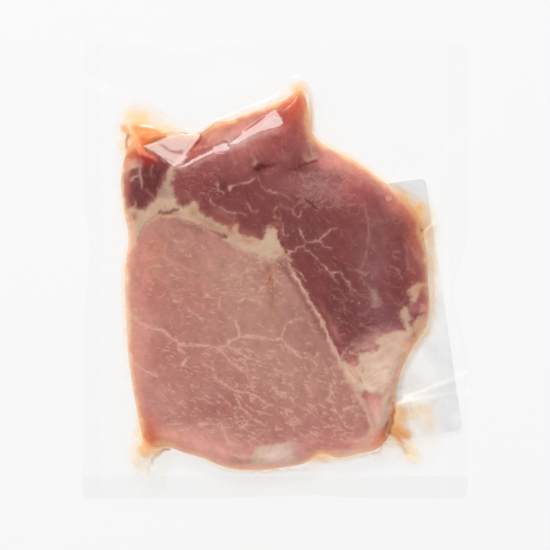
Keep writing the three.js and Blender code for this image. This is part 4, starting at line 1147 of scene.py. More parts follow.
# %% Paint the slice
layers = {
    "eye": (Paint(wobble_x, wobble_y, (186, 127, 115)), EYE_WASHES),
    "dark": (Paint(wobble_x, wobble_y, (129, 62, 62)), DARK_WASHES),
    "small": (Paint(wobble_x, wobble_y, (108, 44, 46)), SMALL_WASHES),
    "fat": (Paint(wobble_x, wobble_y, (204, 172, 146)), FAT_WASHES),
    "outer rim": (Paint(wobble_x, wobble_y, (250, 216, 174)), OUTER_RIM_WASHES),
    "inner rim": (Paint(wobble_x, wobble_y, (224, 152, 130)), INNER_RIM_WASHES),
}
for paint, washes in layers.values():
    for wash in washes:
        paint.wash(*wash)
for name, strokes in (("fat", FAT_STROKES), ("eye", EYE_STROKES)):
    for stroke in strokes:
        layers[name][0].stroke(*stroke)


def mix(first, second, share):
    return first + (second - first) * share[:, None]


flesh = mix(layers["dark"][0].colour, layers["small"][0].colour, step(small_depth, -0.8, 0.8))
flesh = mix(flesh, layers["eye"][0].colour, in_eye)
flesh *= (1 + 0.045 * slow_noise(sx, sy, 9, 51) + 0.035 * slow_noise(sx, sy, 3.2, 52))[:, None]
layers["flesh"] = (Paint(wobble_x, wobble_y, (0, 0, 0)), [])
layers["flesh"][0].colour = flesh
rim_width = around(sx, sy, 1.7, RIM_WIDTHS)
rim_depth = slice_depth + 0.35 * slow_noise(sx, sy, 7, 53) + 0.15 * slow_noise(sx, sy, 2.5, 54)
for name in ("flesh", "fat"):
    paint = layers[name][0]
    inner_share = 0.85 * (1 - step(rim_depth, 0, 2.4 * rim_width))
    outer_share = 0.95 * (1 - step(rim_depth, -0.4, rim_width))
    paint.colour = mix(paint.colour, layers["inner rim"][0].colour, inner_share)
    paint.colour = mix(paint.colour, layers["outer rim"][0].colour, outer_share)
    for area in TOP_AREAS:
        paint.area(*area)
    for wash in TOP_WASHES:
        paint.wash(*wash)
    for stroke in TOP_STROKES:
        paint.stroke(*stroke)
print("mean flesh colour, linear:", layers["flesh"][0].colour.mean(axis=0).round(3))

# %% Make the slice
EDGE_MIDDLE = 4.0
UPPER_EDGE = 6.0
LOWER_EDGE = 4.0
upper = np.sqrt(1 - (1 - np.clip(slice_depth / UPPER_EDGE, 0, 1)) ** 2)
lower = np.sqrt(1 - (1 - np.clip(slice_depth / LOWER_EDGE, 0, 1)) ** 2)
relief = (
    0.12 * in_fat
    + 0.1 * step(vein_depth, -0.6, 0.3)
    - 0.45 * step(crease_depth, -0.8, 0.3)
    + 0.07 * slow_noise(sx, sy, 6, 61)
    + 0.03 * slow_noise(sx, sy, 2.2, 62)
)
full = SLICE_THICKNESS + slice_heights.swell.ravel() - 0.25
slice_top = EDGE_MIDDLE + (full + relief - EDGE_MIDDLE) * upper
slice_top = np.minimum(slice_top, slice_heights.front.ravel() - SKIN)
slice_bottom = EDGE_MIDDLE - (EDGE_MIDDLE - 0.45) * lower + 0.05 * slow_noise(sx, sy, 8, 63)
slice_bottom = np.maximum(slice_bottom, slice_heights.back.ravel() + SKIN)
slice_bottom = np.minimum(slice_bottom, slice_top - 0.02)
points, faces = closed_skin(
    slice_x, slice_y, slice_top.reshape(slice_x.shape), slice_bottom.reshape(slice_x.shape), BOTTOM_EVERY)


def top_and_bottom(values):
    """A field for the whole skin: the top grid's values, then every few of them for the bottom."""
    grid = values.reshape(*slice_x.shape, *values.shape[1:])
    low = grid[::BOTTOM_EVERY, ::BOTTOM_EVERY]
    return np.concatenate([values, low.reshape(-1, *values.shape[1:])])


def with_alpha(colour):
    return np.column_stack([colour, np.ones(len(colour))])


pork = make_piece("pork_slice", points, faces, {
    "flesh": top_and_bottom(with_alpha(layers["flesh"][0].colour)),
    "fat": top_and_bottom(with_alpha(layers["fat"][0].colour)),
    "fat_depth": top_and_bottom(fat_depth),
    "vein_depth": top_and_bottom(vein_depth),
    "faint_depth": top_and_bottom(faint_depth),
    "fleck_depth": top_and_bottom(fleck_depth),
    "crease_depth": top_and_bottom(crease_depth),
    "edge_depth": top_and_bottom(slice_depth),
    "in_eye": top_and_bottom(in_eye),
})
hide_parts("pouch")

# %% [markdown]
# ## The juice
#
# A vacuum squeezes juice out of the meat, and it gathers where the films part round the slice: a
# thin line along the sides and small pools at the corners, with smears that run out between the
# films. It is a ring whose faces lie just inside the two films. How much it covers and its colour
# are painted on it in the same way, from cream where it is thin to orange where it is deep.

# %% Juice, laid out
# Direction, half-width in degrees and length in mm of each smear beyond the crease
SMEARS = {
    "bottom right": (-51, 6, 14),
    "bottom left, fold": (-125.5, 2.5, 12),
    "over the label": (-39, 8, 19),
    "top left": (130, 7, 2),
    "bottom left": (-129, 6, 4),
    "upper right": (31, 9, 5),
    "right": (12, 12, 4),
    "right, low": (-9, 9, 2.5),
    "bottom": (-75, 7, 3),
}
# Each pool: x, y, reach along and across, lean in degrees, red, green, blue and cover
POOLS = [
    (0, -10, 200, 200, 0, 250, 212, 160, 0.1), (-59.5, 64.8, 7, 6.5, -10, 250, 198, 128, 0.8),
    (-63.2, 70, 5, 5.5, 0, 250, 208, 142, 0.45), (-51, 62, 6.5, 2.8, -12, 250, 200, 122, 0.6),
    (-45, 61.4, 6, 2, -6, 248, 212, 160, 0.4), (-67.4, 60, 1.2, 8, 0, 252, 226, 196, 0.5),
    (-65, 72, 3.4, 7, 0, 252, 226, 190, 0.5), (-64.8, 53.6, 1.8, 2.6, 0, 238, 164, 104, 0.85),
    (-62.4, 57.4, 2, 2.8, 30, 246, 152, 92, 0.75), (-20, 66.8, 14, 1.6, 22, 240, 186, 126, 0.6),
    (-28, 62.8, 8, 1.1, 30, 236, 180, 140, 0.6), (0, 73, 8, 1.8, 30, 248, 188, 126, 0.6),
    (10.5, 79, 4, 3.6, 0, 246, 166, 104, 0.8), (12, 81.6, 4.4, 3, 0, 248, 206, 150, 0.45),
    (16.4, 70, 1.8, 9, 0, 238, 186, 132, 0.75), (15.4, 65, 1.6, 6, 6, 222, 162, 118, 0.85),
    (30, 50.6, 16, 1.8, -27, 248, 210, 158, 0.6), (57.6, 31, 7, 2.2, -47, 216, 154, 88, 0.8),
    (63, 26, 4.5, 3.4, -58, 222, 158, 84, 0.8), (66, 23.4, 3.4, 5, -20, 238, 186, 116, 0.5),
    (64.6, 17.4, 1.6, 4, -5, 206, 126, 60, 0.8), (67.4, 15.6, 2, 5, 0, 220, 164, 96, 0.6),
    (67.8, 3, 1.2, 8, 2, 214, 160, 106, 0.6), (69.6, 0, 1.8, 12, 0, 236, 190, 138, 0.4),
    (69.4, -14, 1.8, 9, 0, 238, 190, 140, 0.4), (54.2, -62.8, 3.8, 4, 0, 220, 158, 98, 0.75),
    (68, -67, 3.4, 6, 0, 244, 200, 136, 0.3), (61.6, -84.6, 5, 3.4, -60, 254, 224, 176, 0.25),
    (51, -76.6, 4.5, 1.3, 0, 250, 208, 166, 0.5), (66.4, -28.6, 2, 4, -40, 240, 184, 128, 0.6),
    (62, -33, 2, 3, -40, 240, 184, 126, 0.6), (57.2, -41, 1, 7, -14, 236, 186, 148, 0.35),
    (36, -82.2, 9, 1.4, 10, 244, 196, 150, 0.5), (20, -82.4, 6.4, 2.4, 0, 252, 190, 126, 0.85),
    (38, -80.8, 12, 0.9, 13, 246, 206, 168, 0.4), (70, 16, 3, 4, 0, 228, 190, 150, 0.4),
    (0, -88.4, 20, 1.3, 0, 244, 198, 150, 0.7), (-25, -86.4, 10, 1.3, -25, 246, 200, 150, 0.4),
    (-60, -70, 1.2, 7, 10, 250, 206, 156, 0.5), (-67, -10, 1.3, 50, 0, 251, 206, 164, 0.55),
]
# Fans of juice from the corners: corners, colour, cover and the softness of their edges in mm
FANS = [
    ([(-60.4, -68), (-57, -76), (-50, -79.2), (-54, -83.4), (-58, -87.4), (-62.4, -88.4), (-63, -82),
      (-61.6, -75)], (253, 222, 170), 0.5, 3.2),
    ([(-59, -73), (-56, -77.4), (-47, -78.2), (-50, -79.6), (-53.4, -81.2), (-56.6, -82.2), (-60, -80.6)],
     (246, 184, 124), 0.78, 1.2),
    ([(51, -61.6), (56.4, -62), (57.6, -66), (56, -68.6), (51, -69)], (234, 190, 144), 0.6, 2),
    ([(50.4, -67), (54, -65.8), (57.2, -67.6), (59.6, -71.6), (61, -75.2), (57.4, -75.4), (53.6, -74.2),
      (50.4, -72.2)], (233, 168, 110), 0.88, 2),
    ([(50.6, -69.4), (53.4, -69.2), (56.4, -71.6), (58, -73.8), (55, -73.4), (50.6, -72)],
     (220, 138, 74), 0.65, 1.2),
    ([(52, -60.2), (60, -59.6), (71, -58.4), (69, -62), (63, -65.2), (57, -66.8), (51.6, -66.4)],
     (240, 194, 136), 0.4, 2.6),
    ([(51.4, -73), (56.6, -75.8), (60.6, -76), (62.6, -80), (62.6, -84), (60.6, -85), (57.4, -82),
      (54.2, -77.4)], (255, 216, 160), 0.62, 2.6),
    ([(-63, 63.6), (-60, 64), (-56, 63), (-53, 62.4), (-50, 60.8), (-47.6, 58.8), (-52, 56.6),
      (-58.5, 54.2),
      (-60.6, 57)], (247, 150, 72), 0.92, 1.4),
    ([(-59.4, 58.4), (-56.6, 58), (-52.4, 57.6), (-54, 55.6), (-58.6, 54.2)], (232, 112, 44), 0.7, 0.9),
    ([(-67.4, 63.8), (-64.8, 63.2), (-62.4, 60.4), (-60.6, 57), (-59.6, 53.6), (-62.4, 54.2), (-65, 58.2),
      (-66.8, 61.2)], (248, 174, 114), 0.9, 0.8),
    ([(50.2, -73.2), (53, -74.8), (54.6, -76.3), (49, -76.4), (49.4, -74.8)], (234, 202, 172), 0.5, 0.8),
]
# Lines where the film is folded over juice, and one painted highlight: points, half-widths, colour and
# cover
FOLD_LINES = [
    ([(52.4, -60), (52, -63), (51.3, -66), (50.4, -69), (50, -71)], 0.5, 0.9, (154, 72, 38), 0.85),
    ([(51.2, -72), (53.4, -73.2), (55.4, -74.6), (56.4, -75.8)], 0.5, 0.6, (214, 126, 62), 0.75),
    ([(-67.7, 63), (-66.6, 60.6), (-65.2, 58.8)], 0.15, 0.5, (202, 156, 116), 0.8),
    ([(-65, 58.8), (-65.3, 56.4), (-65.8, 54.4)], 0.9, 0.5, (192, 130, 88), 0.9),
    # Painted highlight: a cream dash where the film over the top left pool mirrors the lamp.
    ([(-58.6, 63.6), (-56, 63.2), (-53.4, 62.7)], 0.6, 0.5, (254, 228, 202), 0.85),
    ([(-48.6, 60), (-45, 60.3), (-41.4, 60), (-38.2, 59.7)], 0.2, 0.25, (178, 124, 88), 0.9),
    ([(-34.6, 59.6), (-31, 60.8), (-28.2, 62.6), (-26, 64.2), (-23, 64.9)], 0.2, 0.25, (168, 118, 96), 0.7),
    ([(48.8, -75.4), (48, -77.4), (46.4, -78.6), (44, -79.8),
      (42.6, -81.6)], 0.3, 0.25, (180, 118, 90), 0.75),
    ([(51.6, -72.4), (54.4, -75.8), (55.8, -77.8), (57.6, -80.8)], 0.3, 0.4, (206, 152, 104), 0.8),
    ([(54.4, -60.4), (54.4, -65)], 0.1, 0.1, (186, 138, 100), 0.4),
    ([(56, -60), (56.2, -66)], 0.1, 0.1, (186, 138, 100), 0.4),
    ([(57.6, -60), (57.8, -66)], 0.1, 0.1, (192, 146, 108), 0.35),
    ([(-46.6, -78.4), (-50, -79.8), (-52.6, -81.6), (-54.2, -84.6)], 0.6, 0.4,
     (186, 138, 104), 0.9),
    ([(-54.2, -84.6), (-56.4, -88.6), (-57, -90.6)], 0.4, 0.15, (214, 178, 148), 0.55),
]

# %% Make the juice
JUICE_COLUMNS = 1100
JUICE_RINGS = 36
OVERLAP = 5.0
turns = np.linspace(-np.pi, np.pi, JUICE_COLUMNS, endpoint=False)
middle_line = SLICE_MIDDLE + reach_at(turns)[:, None] * np.stack([np.cos(turns), np.sin(turns)], axis=1)
outward = np.roll(middle_line, -1, axis=0) - np.roll(middle_line, 1, axis=0)
outward = np.stack([outward[:, 1], -outward[:, 0]], axis=1)
outward /= np.linalg.norm(outward, axis=1, keepdims=True)
SMOOTHING = 31
kernel = np.hanning(SMOOTHING + 2)[1:-1] / np.hanning(SMOOTHING + 2).sum()
wrapped = np.concatenate([outward[-SMOOTHING:], outward, outward[:SMOOTHING]])
outward = np.stack([np.convolve(wrapped[:, i], kernel, "same") for i in (0, 1)], axis=1)
outward = outward[SMOOTHING:-SMOOTHING]
outward /= np.linalg.norm(outward, axis=1, keepdims=True)
juice_reach = around(middle_line[:, 0], middle_line[:, 1], FRINGE, POCKETS)
juice_reach += around(middle_line[:, 0], middle_line[:, 1], 0, SMEARS)
share = np.linspace(0, 1, JUICE_RINGS)
run = -OVERLAP + (juice_reach[:, None] + OVERLAP) * share
juice_xy = middle_line[:, None, :] + run[..., None] * outward[:, None, :]
juice_x, juice_y = juice_xy[..., 0], juice_xy[..., 1]
juice_heights = Heights(juice_x, juice_y, FACET_PLANES)
juice_top = juice_heights.front - SKIN / 2
juice_low = np.minimum(juice_heights.back + SKIN / 2, juice_top - 0.02)

jx, jy = juice_x.ravel(), juice_y.ravel()
pools = Paint(jx + 0.5 * slow_noise(jx, jy, 6, 71), jy + 0.5 * slow_noise(jx, jy, 6, 72), (252, 222, 178))
for pool in POOLS:
    pools.wash(*pool)
for fan in FANS:
    pools.area(*fan)
outer_fade = 1 - step(np.tile(share, JUICE_COLUMNS), 0.66, 1)
inner_fade = step(run.ravel(), -OVERLAP, 0.5)
pools.cover *= outer_fade * inner_fade * (1 + 0.06 * slow_noise(jx, jy, 6, 73))
for line in FOLD_LINES:
    pools.stroke(*line)
pools.cover = np.clip(pools.cover, 0, 0.97)

rows, columns = juice_x.shape
index = np.arange(rows * columns).reshape(rows, columns)
after = np.roll(index, -1, axis=0)
top_faces = np.stack([index[:, :-1], index[:, 1:], after[:, 1:], after[:, :-1]], axis=-1).reshape(-1, 4)
half = rows * columns
outer_wall = np.stack([index[:, -1], index[:, -1] + half, after[:, -1] + half, after[:, -1]], axis=-1)
inner_wall = np.stack([after[:, 0], after[:, 0] + half, index[:, 0] + half, index[:, 0]], axis=-1)
points = np.concatenate([
    np.stack([juice_x, juice_y, z], axis=-1).reshape(-1, 3) for z in (juice_top, juice_low)
])
faces = np.concatenate([top_faces, top_faces[:, ::-1] + half, outer_wall, inner_wall]).tolist()
juice = make_piece("juice", points, faces, {
    "tint": np.tile(with_alpha(pools.colour), (2, 1)),
    "cover": np.concatenate([pools.cover, np.zeros(pools.cover.size)]),
})
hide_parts("pouch")

# %% [markdown]
# ## The label
#
# The label is stuck on the outside of the back film, with its print facing the table. Seen from
# above, through both films, it is plain paper that looks a little darker than the white table.
# It is a thin sheet that follows the back film up over the crease.

# %% Make the label
LABEL_CORNER = 2.2
label_u = graded_lines(-LABEL_SIZE[0] / 2, LABEL_SIZE[0] / 2, 0.9, [(18, LABEL_SIZE[0] / 2, 0.6)])
label_v = graded_lines(-LABEL_SIZE[1] / 2, LABEL_SIZE[1] / 2, 0.9, [])
lu, lv = np.meshgrid(label_u, label_v)
from_end = LABEL_SIZE[1] / 2 - abs(lv)
cut = np.clip(LABEL_CORNER - from_end, 0, LABEL_CORNER)
narrowed = LABEL_SIZE[0] / 2 - (LABEL_CORNER - np.sqrt(LABEL_CORNER**2 - cut**2))
lu = lu * narrowed / (LABEL_SIZE[0] / 2)
cos, sin = np.cos(LABEL_TURN), np.sin(LABEL_TURN)
label_x = LABEL_MIDDLE[0] + lu * cos - lv * sin
label_y = LABEL_MIDDLE[1] + lu * sin + lv * cos
label_heights = Heights(label_x, label_y, FACET_PLANES)
label_low = np.maximum(label_heights.rest, 0)
points, faces = closed_skin(label_x, label_y, label_low + LABEL_THICKNESS, label_low)
both = np.tile(np.stack([lu.ravel(), lv.ravel()]), 2)
label = make_piece("label_paper", points, faces, {
    "across": both[0],
    "along": both[1],
    "print_side": np.repeat([0.0, 1.0], lu.size),
})
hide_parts("label")

# %% [markdown]
# ## Shader maths
#
# A shader is a network of small nodes, and its maths is much easier to read as Python. `Wire`
# wraps one socket, so that `a * b + 1` adds the Math nodes; `Finish` holds one material's network
# and adds any other node.


# %% Wire and Finish
class Wire:
    """One value of a material, as the socket it comes from."""

    def __init__(self, finish, socket):
        self.finish = finish
        self.socket = socket

    def math(self, operation, first, second):
        return self.finish.node("ShaderNodeMath", {"operation": operation}, {0: first, 1: second})

    def __add__(self, other):
        return self.math("ADD", self, other)

    def __radd__(self, other):
        return self.math("ADD", other, self)

    def __sub__(self, other):
        return self.math("SUBTRACT", self, other)

    def __rsub__(self, other):
        return self.math("SUBTRACT", other, self)

    def __mul__(self, other):
        return self.math("MULTIPLY", self, other)

    def __rmul__(self, other):
        return self.math("MULTIPLY", other, self)

    def __truediv__(self, other):
        return self.math("DIVIDE", self, other)

    def __rtruediv__(self, other):
        return self.math("DIVIDE", other, self)

    def __pow__(self, other):
        return self.math("POWER", self, other)

    def __rpow__(self, other):
        return self.math("POWER", other, self)

    def at_most(self, other):
        return self.math("MINIMUM", self, other)

    def at_least(self, other):
        return self.math("MAXIMUM", self, other)

    def between(self, low, high):
        """0 below low, 1 above high and smooth between them."""
        values = {"Value": self, "From Min": low, "From Max": high}
        return self.finish.node("ShaderNodeMapRange", {"interpolation_type": "SMOOTHSTEP"}, values)


class Finish:
    """A material's network of nodes."""

    def __init__(self, name):
        self.material = bpy.data.materials.new(name)
        self.material.use_nodes = True
        self.tree = self.material.node_tree
        self.tree.nodes.clear()

    def node(self, kind, settings=None, values=None, output=0):
        """Adds a node, sets its settings first and then its sockets, and returns one output."""
        node = self.tree.nodes.new(kind)
        for name, value in (settings or {}).items():
            setattr(node, name, value)
        for name, value in (values or {}).items():
            if isinstance(value, Wire):
                self.tree.links.new(value.socket, node.inputs[name])
            else:
                node.inputs[name].default_value = value
        return Wire(self, node.outputs[output])

    def field(self, name):
        return self.node("ShaderNodeAttribute", {"attribute_name": name}, output="Fac")

    def colour_field(self, name):
        return self.node("ShaderNodeAttribute", {"attribute_name": name}, output="Color")

    def place(self, size=1.0, stretch=1.0, turn=0.0):
        """Object coordinates in steps of a size in mm, longer along a direction in degrees."""
        where = self.node("ShaderNodeTexCoord", output="Object")
        scale = [size * stretch * MM, size * MM, size * MM]
        values = {"Vector": where, "Rotation": (0, 0, np.radians(turn)), "Scale": scale}
        return self.node("ShaderNodeMapping", {"vector_type": "TEXTURE"}, values)

    def noise(self, size, stretch=1.0, turn=0.0, detail=3.0):
        """Fractal noise from 0 to 1 with features of about one size, drawn out along a way."""
        values = {"Vector": self.place(size, stretch, turn), "Scale": 1.0, "Detail": detail}
        return self.node("ShaderNodeTexNoise", values=values)

    def blend(self, first, second, share, way="MIX"):
        settings = {"data_type": "RGBA", "blend_type": way}
        values = {0: share, 6: opaque(first), 7: opaque(second)}
        return self.node("ShaderNodeMix", settings, values, output=2)

    def bump(self, height, distance, strength=1.0, normal=None):
        """A Bump node: height in the units of distance, which is in millimetres."""
        values = {"Height": height, "Distance": distance * MM, "Strength": strength}
        if normal is not None:
            values["Normal"] = normal
        return self.node("ShaderNodeBump", values=values)

    def surface(self, shader):
        output = self.tree.nodes.new("ShaderNodeOutputMaterial")
        self.tree.links.new(shader.socket, output.inputs["Surface"])
        return self.material


def opaque(colour):
    """A colour socket's value: a wire as it is, or three numbers with full alpha."""
    return colour if isinstance(colour, Wire) else (*colour, 1.0)


# %% [markdown]
# ## Finish of the pork
#
# The painted colours are the base. Fat and veins are cut out of their distance fields, with noise
# added first so that their edges fray as real fat does. The grain of the muscle is fine noise
# drawn out along the fibres, and thin threads of fat follow the lines where a slow noise passes
# its middle value. Flesh scatters light, so it has a little subsurface, and its thin rim glows in
# its own colour with light that comes up through it.

# %% Pork
VEIN_COLOUR = linear(220, 172, 152)
CREASE_SHADE_COLOUR = linear(112, 36, 30)
SINEW_COLOUR = linear(186, 112, 100)
FAT_BLUSH = linear(208, 148, 130)

meat = Finish("pork")
in_eye = meat.field("in_eye")
grain = meat.noise(0.7, 3.5, -22, 4)
cross_grain = meat.noise(0.7, 3.5, -52, 4)
speck = meat.noise(0.6)
cloud = meat.noise(4.5)
fibres = grain * in_eye + cross_grain * (1 - in_eye) - 0.5
fray = (meat.noise(1.0, detail=4) - 0.5) * 1.2 + (meat.noise(3.4) - 0.5) * 1.8
inner = meat.field("edge_depth").between(0.4, 3.0)
fading = meat.noise(3.2, detail=2).between(0.32, 0.66)

fat_depth = meat.field("fat_depth")
fat_mask = (fat_depth + fray * 1.2).between(-1.3, 1.0)
sinew_mask = (fat_depth + fray * 2).between(-3.2, 0) * inner
vein_core = (meat.field("vein_depth") + fray * 0.4).between(-0.28, 0.3) * inner
vein_halo = (meat.field("vein_depth") + fray * 0.8).between(-1.5, 0.4) * inner
faint_mask = (meat.field("faint_depth") + fray * 0.5).between(-0.8, 0.6) * inner
fleck_mask = (meat.field("fleck_depth") + fray * 0.2).between(-0.26, 0.2) * inner
crease_shade_mask = meat.field("crease_depth").between(-0.9, 0.4)
thread_way = meat.noise(2.6, 3.2, -24, 2) * in_eye + meat.noise(2.6, 2.6, -38, 2) * (1 - in_eye) - 0.5
threads = (1 - (thread_way * thread_way).between(0, 0.0016))
threads = threads * meat.noise(6).between(0.42, 0.62) * inner

light_grain = 0.98 + fibres * (0.36 - in_eye * 0.1) + (speck - 0.5) * 0.2 + (cloud - 0.5) * 0.1
flesh_wire = meat.node("ShaderNodeVectorMath", {"operation": "SCALE"}, {
    0: meat.colour_field("flesh"), "Scale": light_grain})
strands = meat.noise(0.9, 5, 30, 3) - 0.5
fat_light = 1.0 + (cloud - 0.5) * 0.3 + (speck - 0.5) * 0.2 + strands * 0.22
fat_wire = meat.node("ShaderNodeVectorMath", {"operation": "SCALE"}, {
    0: meat.colour_field("fat"), "Scale": fat_light})
fat_wire = meat.blend(fat_wire, FAT_BLUSH, meat.noise(2.4, 2, 30).between(0.48, 0.68) * 0.3)
colour = meat.blend(flesh_wire, SINEW_COLOUR, sinew_mask * (1 - in_eye) * 0.35)
colour = meat.blend(colour, VEIN_COLOUR, threads * 0.1)
colour = meat.blend(colour, VEIN_COLOUR, fleck_mask * (0.2 + in_eye * 0.4))
colour = meat.blend(colour, VEIN_COLOUR, faint_mask * (0.1 + fading * 0.12 + in_eye * 0.14))
colour = meat.blend(colour, VEIN_COLOUR, vein_halo * (0.08 + in_eye * 0.06))
colour = meat.blend(colour, VEIN_COLOUR, vein_core * (0.26 + fading * 0.3 + in_eye * 0.24))
colour = meat.blend(colour, fat_wire, fat_mask * 0.95)
# Creases are painted dark: partly the darker meat inside them, partly painted shade.
colour = meat.blend(colour, CREASE_SHADE_COLOUR, crease_shade_mask * 0.85)
rim_glow = meat.blend((0, 0, 0), colour, 1 - meat.field("edge_depth").between(0.5, 5))
pork_bump = meat.bump(fibres * 0.6 + speck * 0.4, 0.12, 0.5)
pork_shader = meat.node("ShaderNodeBsdfPrincipled", {"subsurface_method": "RANDOM_WALK"}, {
    "Base Color": colour, "Roughness": 0.55, "Normal": pork_bump,
    "Subsurface Weight": 0.12, "Subsurface Radius": (1.0, 0.35, 0.25), "Subsurface Scale": 0.0012,
    "Specular IOR Level": 0.15, "Emission Color": rim_glow, "Emission Strength": 0.1,
})
pork.data.materials.append(meat.surface(pork_shader))

# %% [markdown]
# ## Finish of the juice
#
# Meat juice is clear, so its material mixes a see-through surface with a coloured one. The
# painted cover is the share of the coloured one on its upper face; the lower face is all
# see-through, so that light is tinted once. Light from the white table comes up through the
# juice, which a little emission in its own colour stands for.

# %% Juice
JUICE_GLOW = 0.38
JUICE_SCATTER = 0.7
liquid = Finish("juice")
drift = 0.93 + liquid.noise(3.5) * 0.14
cover = (liquid.field("cover") * drift).at_most(0.98)
tint = liquid.node("ShaderNodeVectorMath", {"operation": "SCALE"}, {
    0: liquid.colour_field("tint"), "Scale": JUICE_SCATTER})
liquid_body = liquid.node("ShaderNodeBsdfPrincipled", values={
    "Base Color": tint, "Roughness": 0.3, "Specular IOR Level": 0.1,
    "Emission Color": liquid.colour_field("tint"), "Emission Strength": JUICE_GLOW})
clear = liquid.node("ShaderNodeBsdfTransparent")
juice.data.materials.append(liquid.surface(
    liquid.node("ShaderNodeMixShader", values={0: cover, 1: clear, 2: liquid_body})))

# %% [markdown]
# ## Finish of the film
#
# Clear film lets nearly all light through and reflects a few hundredths of it, and more at a low
# angle. A Layer Weight node gives the angle in the same way from both sides of the film, and its
# fifth power makes the usual rise towards grazing light. Where the two films are welded they are
# a little milky and finely ribbed; the wide bottom weld is made greyer still, partly the weld's haze
# and partly a painted shadow along the pouch's bottom edge. Fine tension lines in the film are a
# shallow bump.

# %% Film
HEAD_ON_GLOSS = 0.0125
GRAZING_GLOSS = 0.12
wrap = Finish("film")
tension = wrap.noise(7, 2, 20)
ribs_low = wrap.node("ShaderNodeTexWave", {"wave_type": "BANDS", "bands_direction": "Y"}, {
    "Vector": wrap.place(), "Scale": 0.22, "Distortion": 0.4})
ribs_side = wrap.node("ShaderNodeTexWave", {"wave_type": "BANDS", "bands_direction": "Y"}, {
    "Vector": wrap.place(), "Scale": 0.08, "Distortion": 0.2})
low_seal = wrap.field("bottom_seal")
side_weld = wrap.field("side_seal")
film_relief = tension * 0.5 + ribs_low * low_seal * 0.3 + ribs_side * side_weld * 0.15
film_normal = wrap.bump(film_relief, 0.1, 0.2)
mirror = wrap.node("ShaderNodeBsdfPrincipled", values={
    "Base Color": (1, 1, 1, 1), "Metallic": 1.0, "Roughness": 0.15, "Normal": film_normal})
facing = wrap.node("ShaderNodeLayerWeight", values={"Blend": 0.5, "Normal": film_normal}, output="Facing")
gloss = (HEAD_ON_GLOSS + facing ** 5 * GRAZING_GLOSS) * (1 - wrap.field("wet"))
see_through = wrap.node("ShaderNodeBsdfTransparent")
haze_and_shadow_grey = wrap.node("ShaderNodeBsdfDiffuse", values={"Color": (*linear(225, 222, 219), 1)})
# The bottom weld's grey is partly haze and partly painted shadow along the pouch's bottom edge; the side
# welds have only a trace of haze.
seal_haze_and_shadow = low_seal * 0.06 + side_weld * 0.01
film_shader = wrap.node("ShaderNodeMixShader", values={0: seal_haze_and_shadow, 1: see_through, 2: haze_and_shadow_grey})
film_shader = wrap.node("ShaderNodeMixShader", values={0: gloss, 1: film_shader, 2: mirror})
film.data.materials.append(wrap.surface(film_shader))

# %% [markdown]
# ## Finish of the label
#
# The print side has plain fields and bars: a tinted band, a block of thin upright bars, and a few
# grey lines. On the adhesive side, which the camera sees, the paper is bare, and only a trace of
# the darkest bars shows through.

# %% Label
PAPER = linear(234, 233, 231)
# Painted glow: the paper emits light in its own colour, standing for table light coming up through it,
# which also weakens the slice's shadow on it.
PAPER_GLOW = 0.58
PAPER_SCATTER = 0.58
PAPER_SHADE = linear(212, 212, 214)
PRINT_TINT = linear(206, 92, 60)
INK = linear(52, 50, 52)
paper = Finish("label")
across, along = paper.field("across"), paper.field("along")
fibre = paper.noise(0.5)
broad = paper.noise(14)


def band(value, low, high, soft=0.15):
    """1 between low and high with soft ends, and 0 elsewhere."""
    return value.between(low - soft, low + soft) * (1 - value.between(high - soft, high + soft))


bars = paper.node("ShaderNodeTexNoise", {"noise_dimensions": "1D"}, {
    "W": across * 0.9, "Scale": 1.0, "Detail": 0.0})
bar_block = band(across, -24, 15.5) * band(along, -48.5, -40.5) * bars.between(0.5, 0.53)
lines = paper.node("ShaderNodeTexWave", {"wave_type": "BANDS", "bands_direction": "Y"}, {
    "Vector": paper.node("ShaderNodeCombineXYZ", values={"X": across, "Y": along}), "Scale": 0.07})
line_block = band(across, -30, 14) * band(along, -48, 10) * lines.between(0.72, 0.78)
ink = bar_block.at_most(1).at_least(line_block * 0.7)
print_side = paper.field("print_side")
head = band(along, 30, 52) * band(across, -32, 32)
print_colour = paper.blend(PAPER, PRINT_TINT, head)
print_colour = paper.blend(print_colour, INK, ink)
shade = (broad * 0.8 + fibre * 0.4).between(0.35, 0.95).at_least(along.between(0, 70))
back_colour = paper.blend(PAPER, PAPER_SHADE, shade)
back_colour = paper.blend(back_colour, INK, ink * 0.14)
paper_colour = paper.blend(back_colour, print_colour, print_side)
paper_shader = paper.node("ShaderNodeBsdfPrincipled", values={
    "Base Color": paper.blend((0, 0, 0), paper_colour, PAPER_SCATTER), "Roughness": 0.8,
    "Specular IOR Level": 0.15, "Emission Color": paper_colour, "Emission Strength": PAPER_GLOW,
    "Normal": paper.bump(fibre, 0.04, 0.3)})
label.data.materials.append(paper.surface(paper_shader))

# %% [markdown]
# ## Table, light and camera
#
# The pack lies on a white light table, which glows a little from beneath, so that thin juice and
# clear film stay bright and shadows stay weak. Soft light comes from all round, with one small
# bright lamp beyond the top edge and a soft glow round it. The film mirrors the lamp where one of
# its facets faces it, and the glow where it is off by some degrees.

# %% Table and tent
TABLE_GLOW = 0.72
table_size = 4.0
table_mesh = bpy.data.meshes.new("table")
corners = np.array([(-1, -1, 0), (1, -1, 0), (1, 1, 0), (-1, 1, 0)]) * table_size / 2
corners[:, 2] = -0.0003
table_mesh.from_pydata(corners.tolist(), [], [(0, 1, 2, 3)])
table = bpy.data.objects.new("table", table_mesh)
bpy.context.scene.collection.objects.link(table)
top = Finish("table")
grey = top.blend((0.22, 0.22, 0.22), (0.225, 0.225, 0.225), top.noise(40))
table_mesh.materials.append(top.surface(top.node("ShaderNodeBsdfPrincipled", values={
    "Base Color": grey, "Roughness": 0.7, "Specular IOR Level": 0.1,
    "Emission Color": (1, 1, 1, 1), "Emission Strength": TABLE_GLOW})))

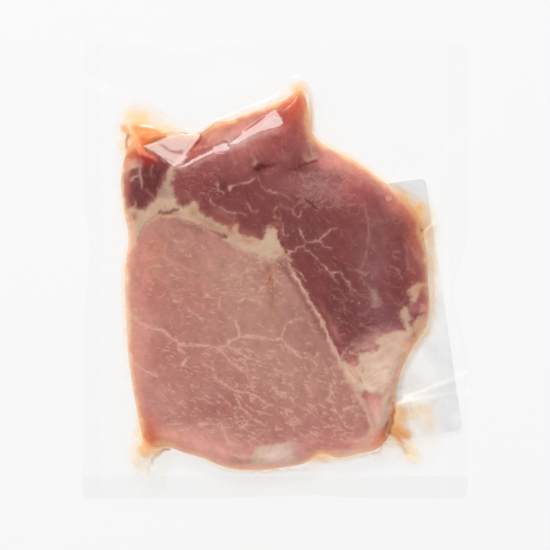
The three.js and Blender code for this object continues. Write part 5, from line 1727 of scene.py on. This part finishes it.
TENT_LIGHT = 0.72
GLOW_LIGHT = 1.2
GLOW_REACH = 38
world = bpy.data.worlds.new("tent")
world.use_nodes = True
bpy.context.scene.world = world
sky = world.node_tree
sky.nodes.clear()
direction = sky.nodes.new("ShaderNodeTexCoord")
towards_lamp = sky.nodes.new("ShaderNodeVectorMath")
towards_lamp.operation = "DOT_PRODUCT"
towards_lamp.inputs[1].default_value = lamp_way
fade = sky.nodes.new("ShaderNodeMapRange")
fade.interpolation_type = "SMOOTHSTEP"
fade.inputs["From Min"].default_value = np.cos(np.radians(GLOW_REACH))
fade.inputs["From Max"].default_value = 1.0
fade.inputs["To Min"].default_value = TENT_LIGHT
fade.inputs["To Max"].default_value = TENT_LIGHT + GLOW_LIGHT
tent = sky.nodes.new("ShaderNodeBackground")
out = sky.nodes.new("ShaderNodeOutputWorld")
sky.links.new(direction.outputs["Generated"], towards_lamp.inputs[0])
sky.links.new(towards_lamp.outputs["Value"], fade.inputs["Value"])
sky.links.new(fade.outputs["Result"], tent.inputs["Strength"])
sky.links.new(tent.outputs["Background"], out.inputs["Surface"])

# %% Lamp
LAMP_RADIANCE = 34.0
lamp_data = bpy.data.lights.new("lamp", "AREA")
lamp_data.shape = "RECTANGLE"
lamp_data.size, lamp_data.size_y = LAMP_SIZE
lamp_data.energy = LAMP_RADIANCE * np.pi * LAMP_SIZE[0] * LAMP_SIZE[1]
lamp = bpy.data.objects.new("lamp", lamp_data)
lamp.location = lamp_at
lamp.rotation_euler = (LAMP_FROM_ZENITH, 0, np.pi - LAMP_LEAN)
bpy.context.scene.collection.objects.link(lamp)

# %% Camera
VIEW_WIDTH = 0.242
camera_data = bpy.data.cameras.new("camera")
camera_data.sensor_width = 36
camera_data.lens = camera_data.sensor_width * CAMERA_HEIGHT / VIEW_WIDTH
camera_data.clip_end = 20
camera = bpy.data.objects.new("camera", camera_data)
camera.location = camera_at
bpy.context.scene.collection.objects.link(camera)
bpy.context.scene.camera = camera
bpy.context.scene.view_settings.view_transform = "Standard"
print("camera lens, mm:", round(camera_data.lens))
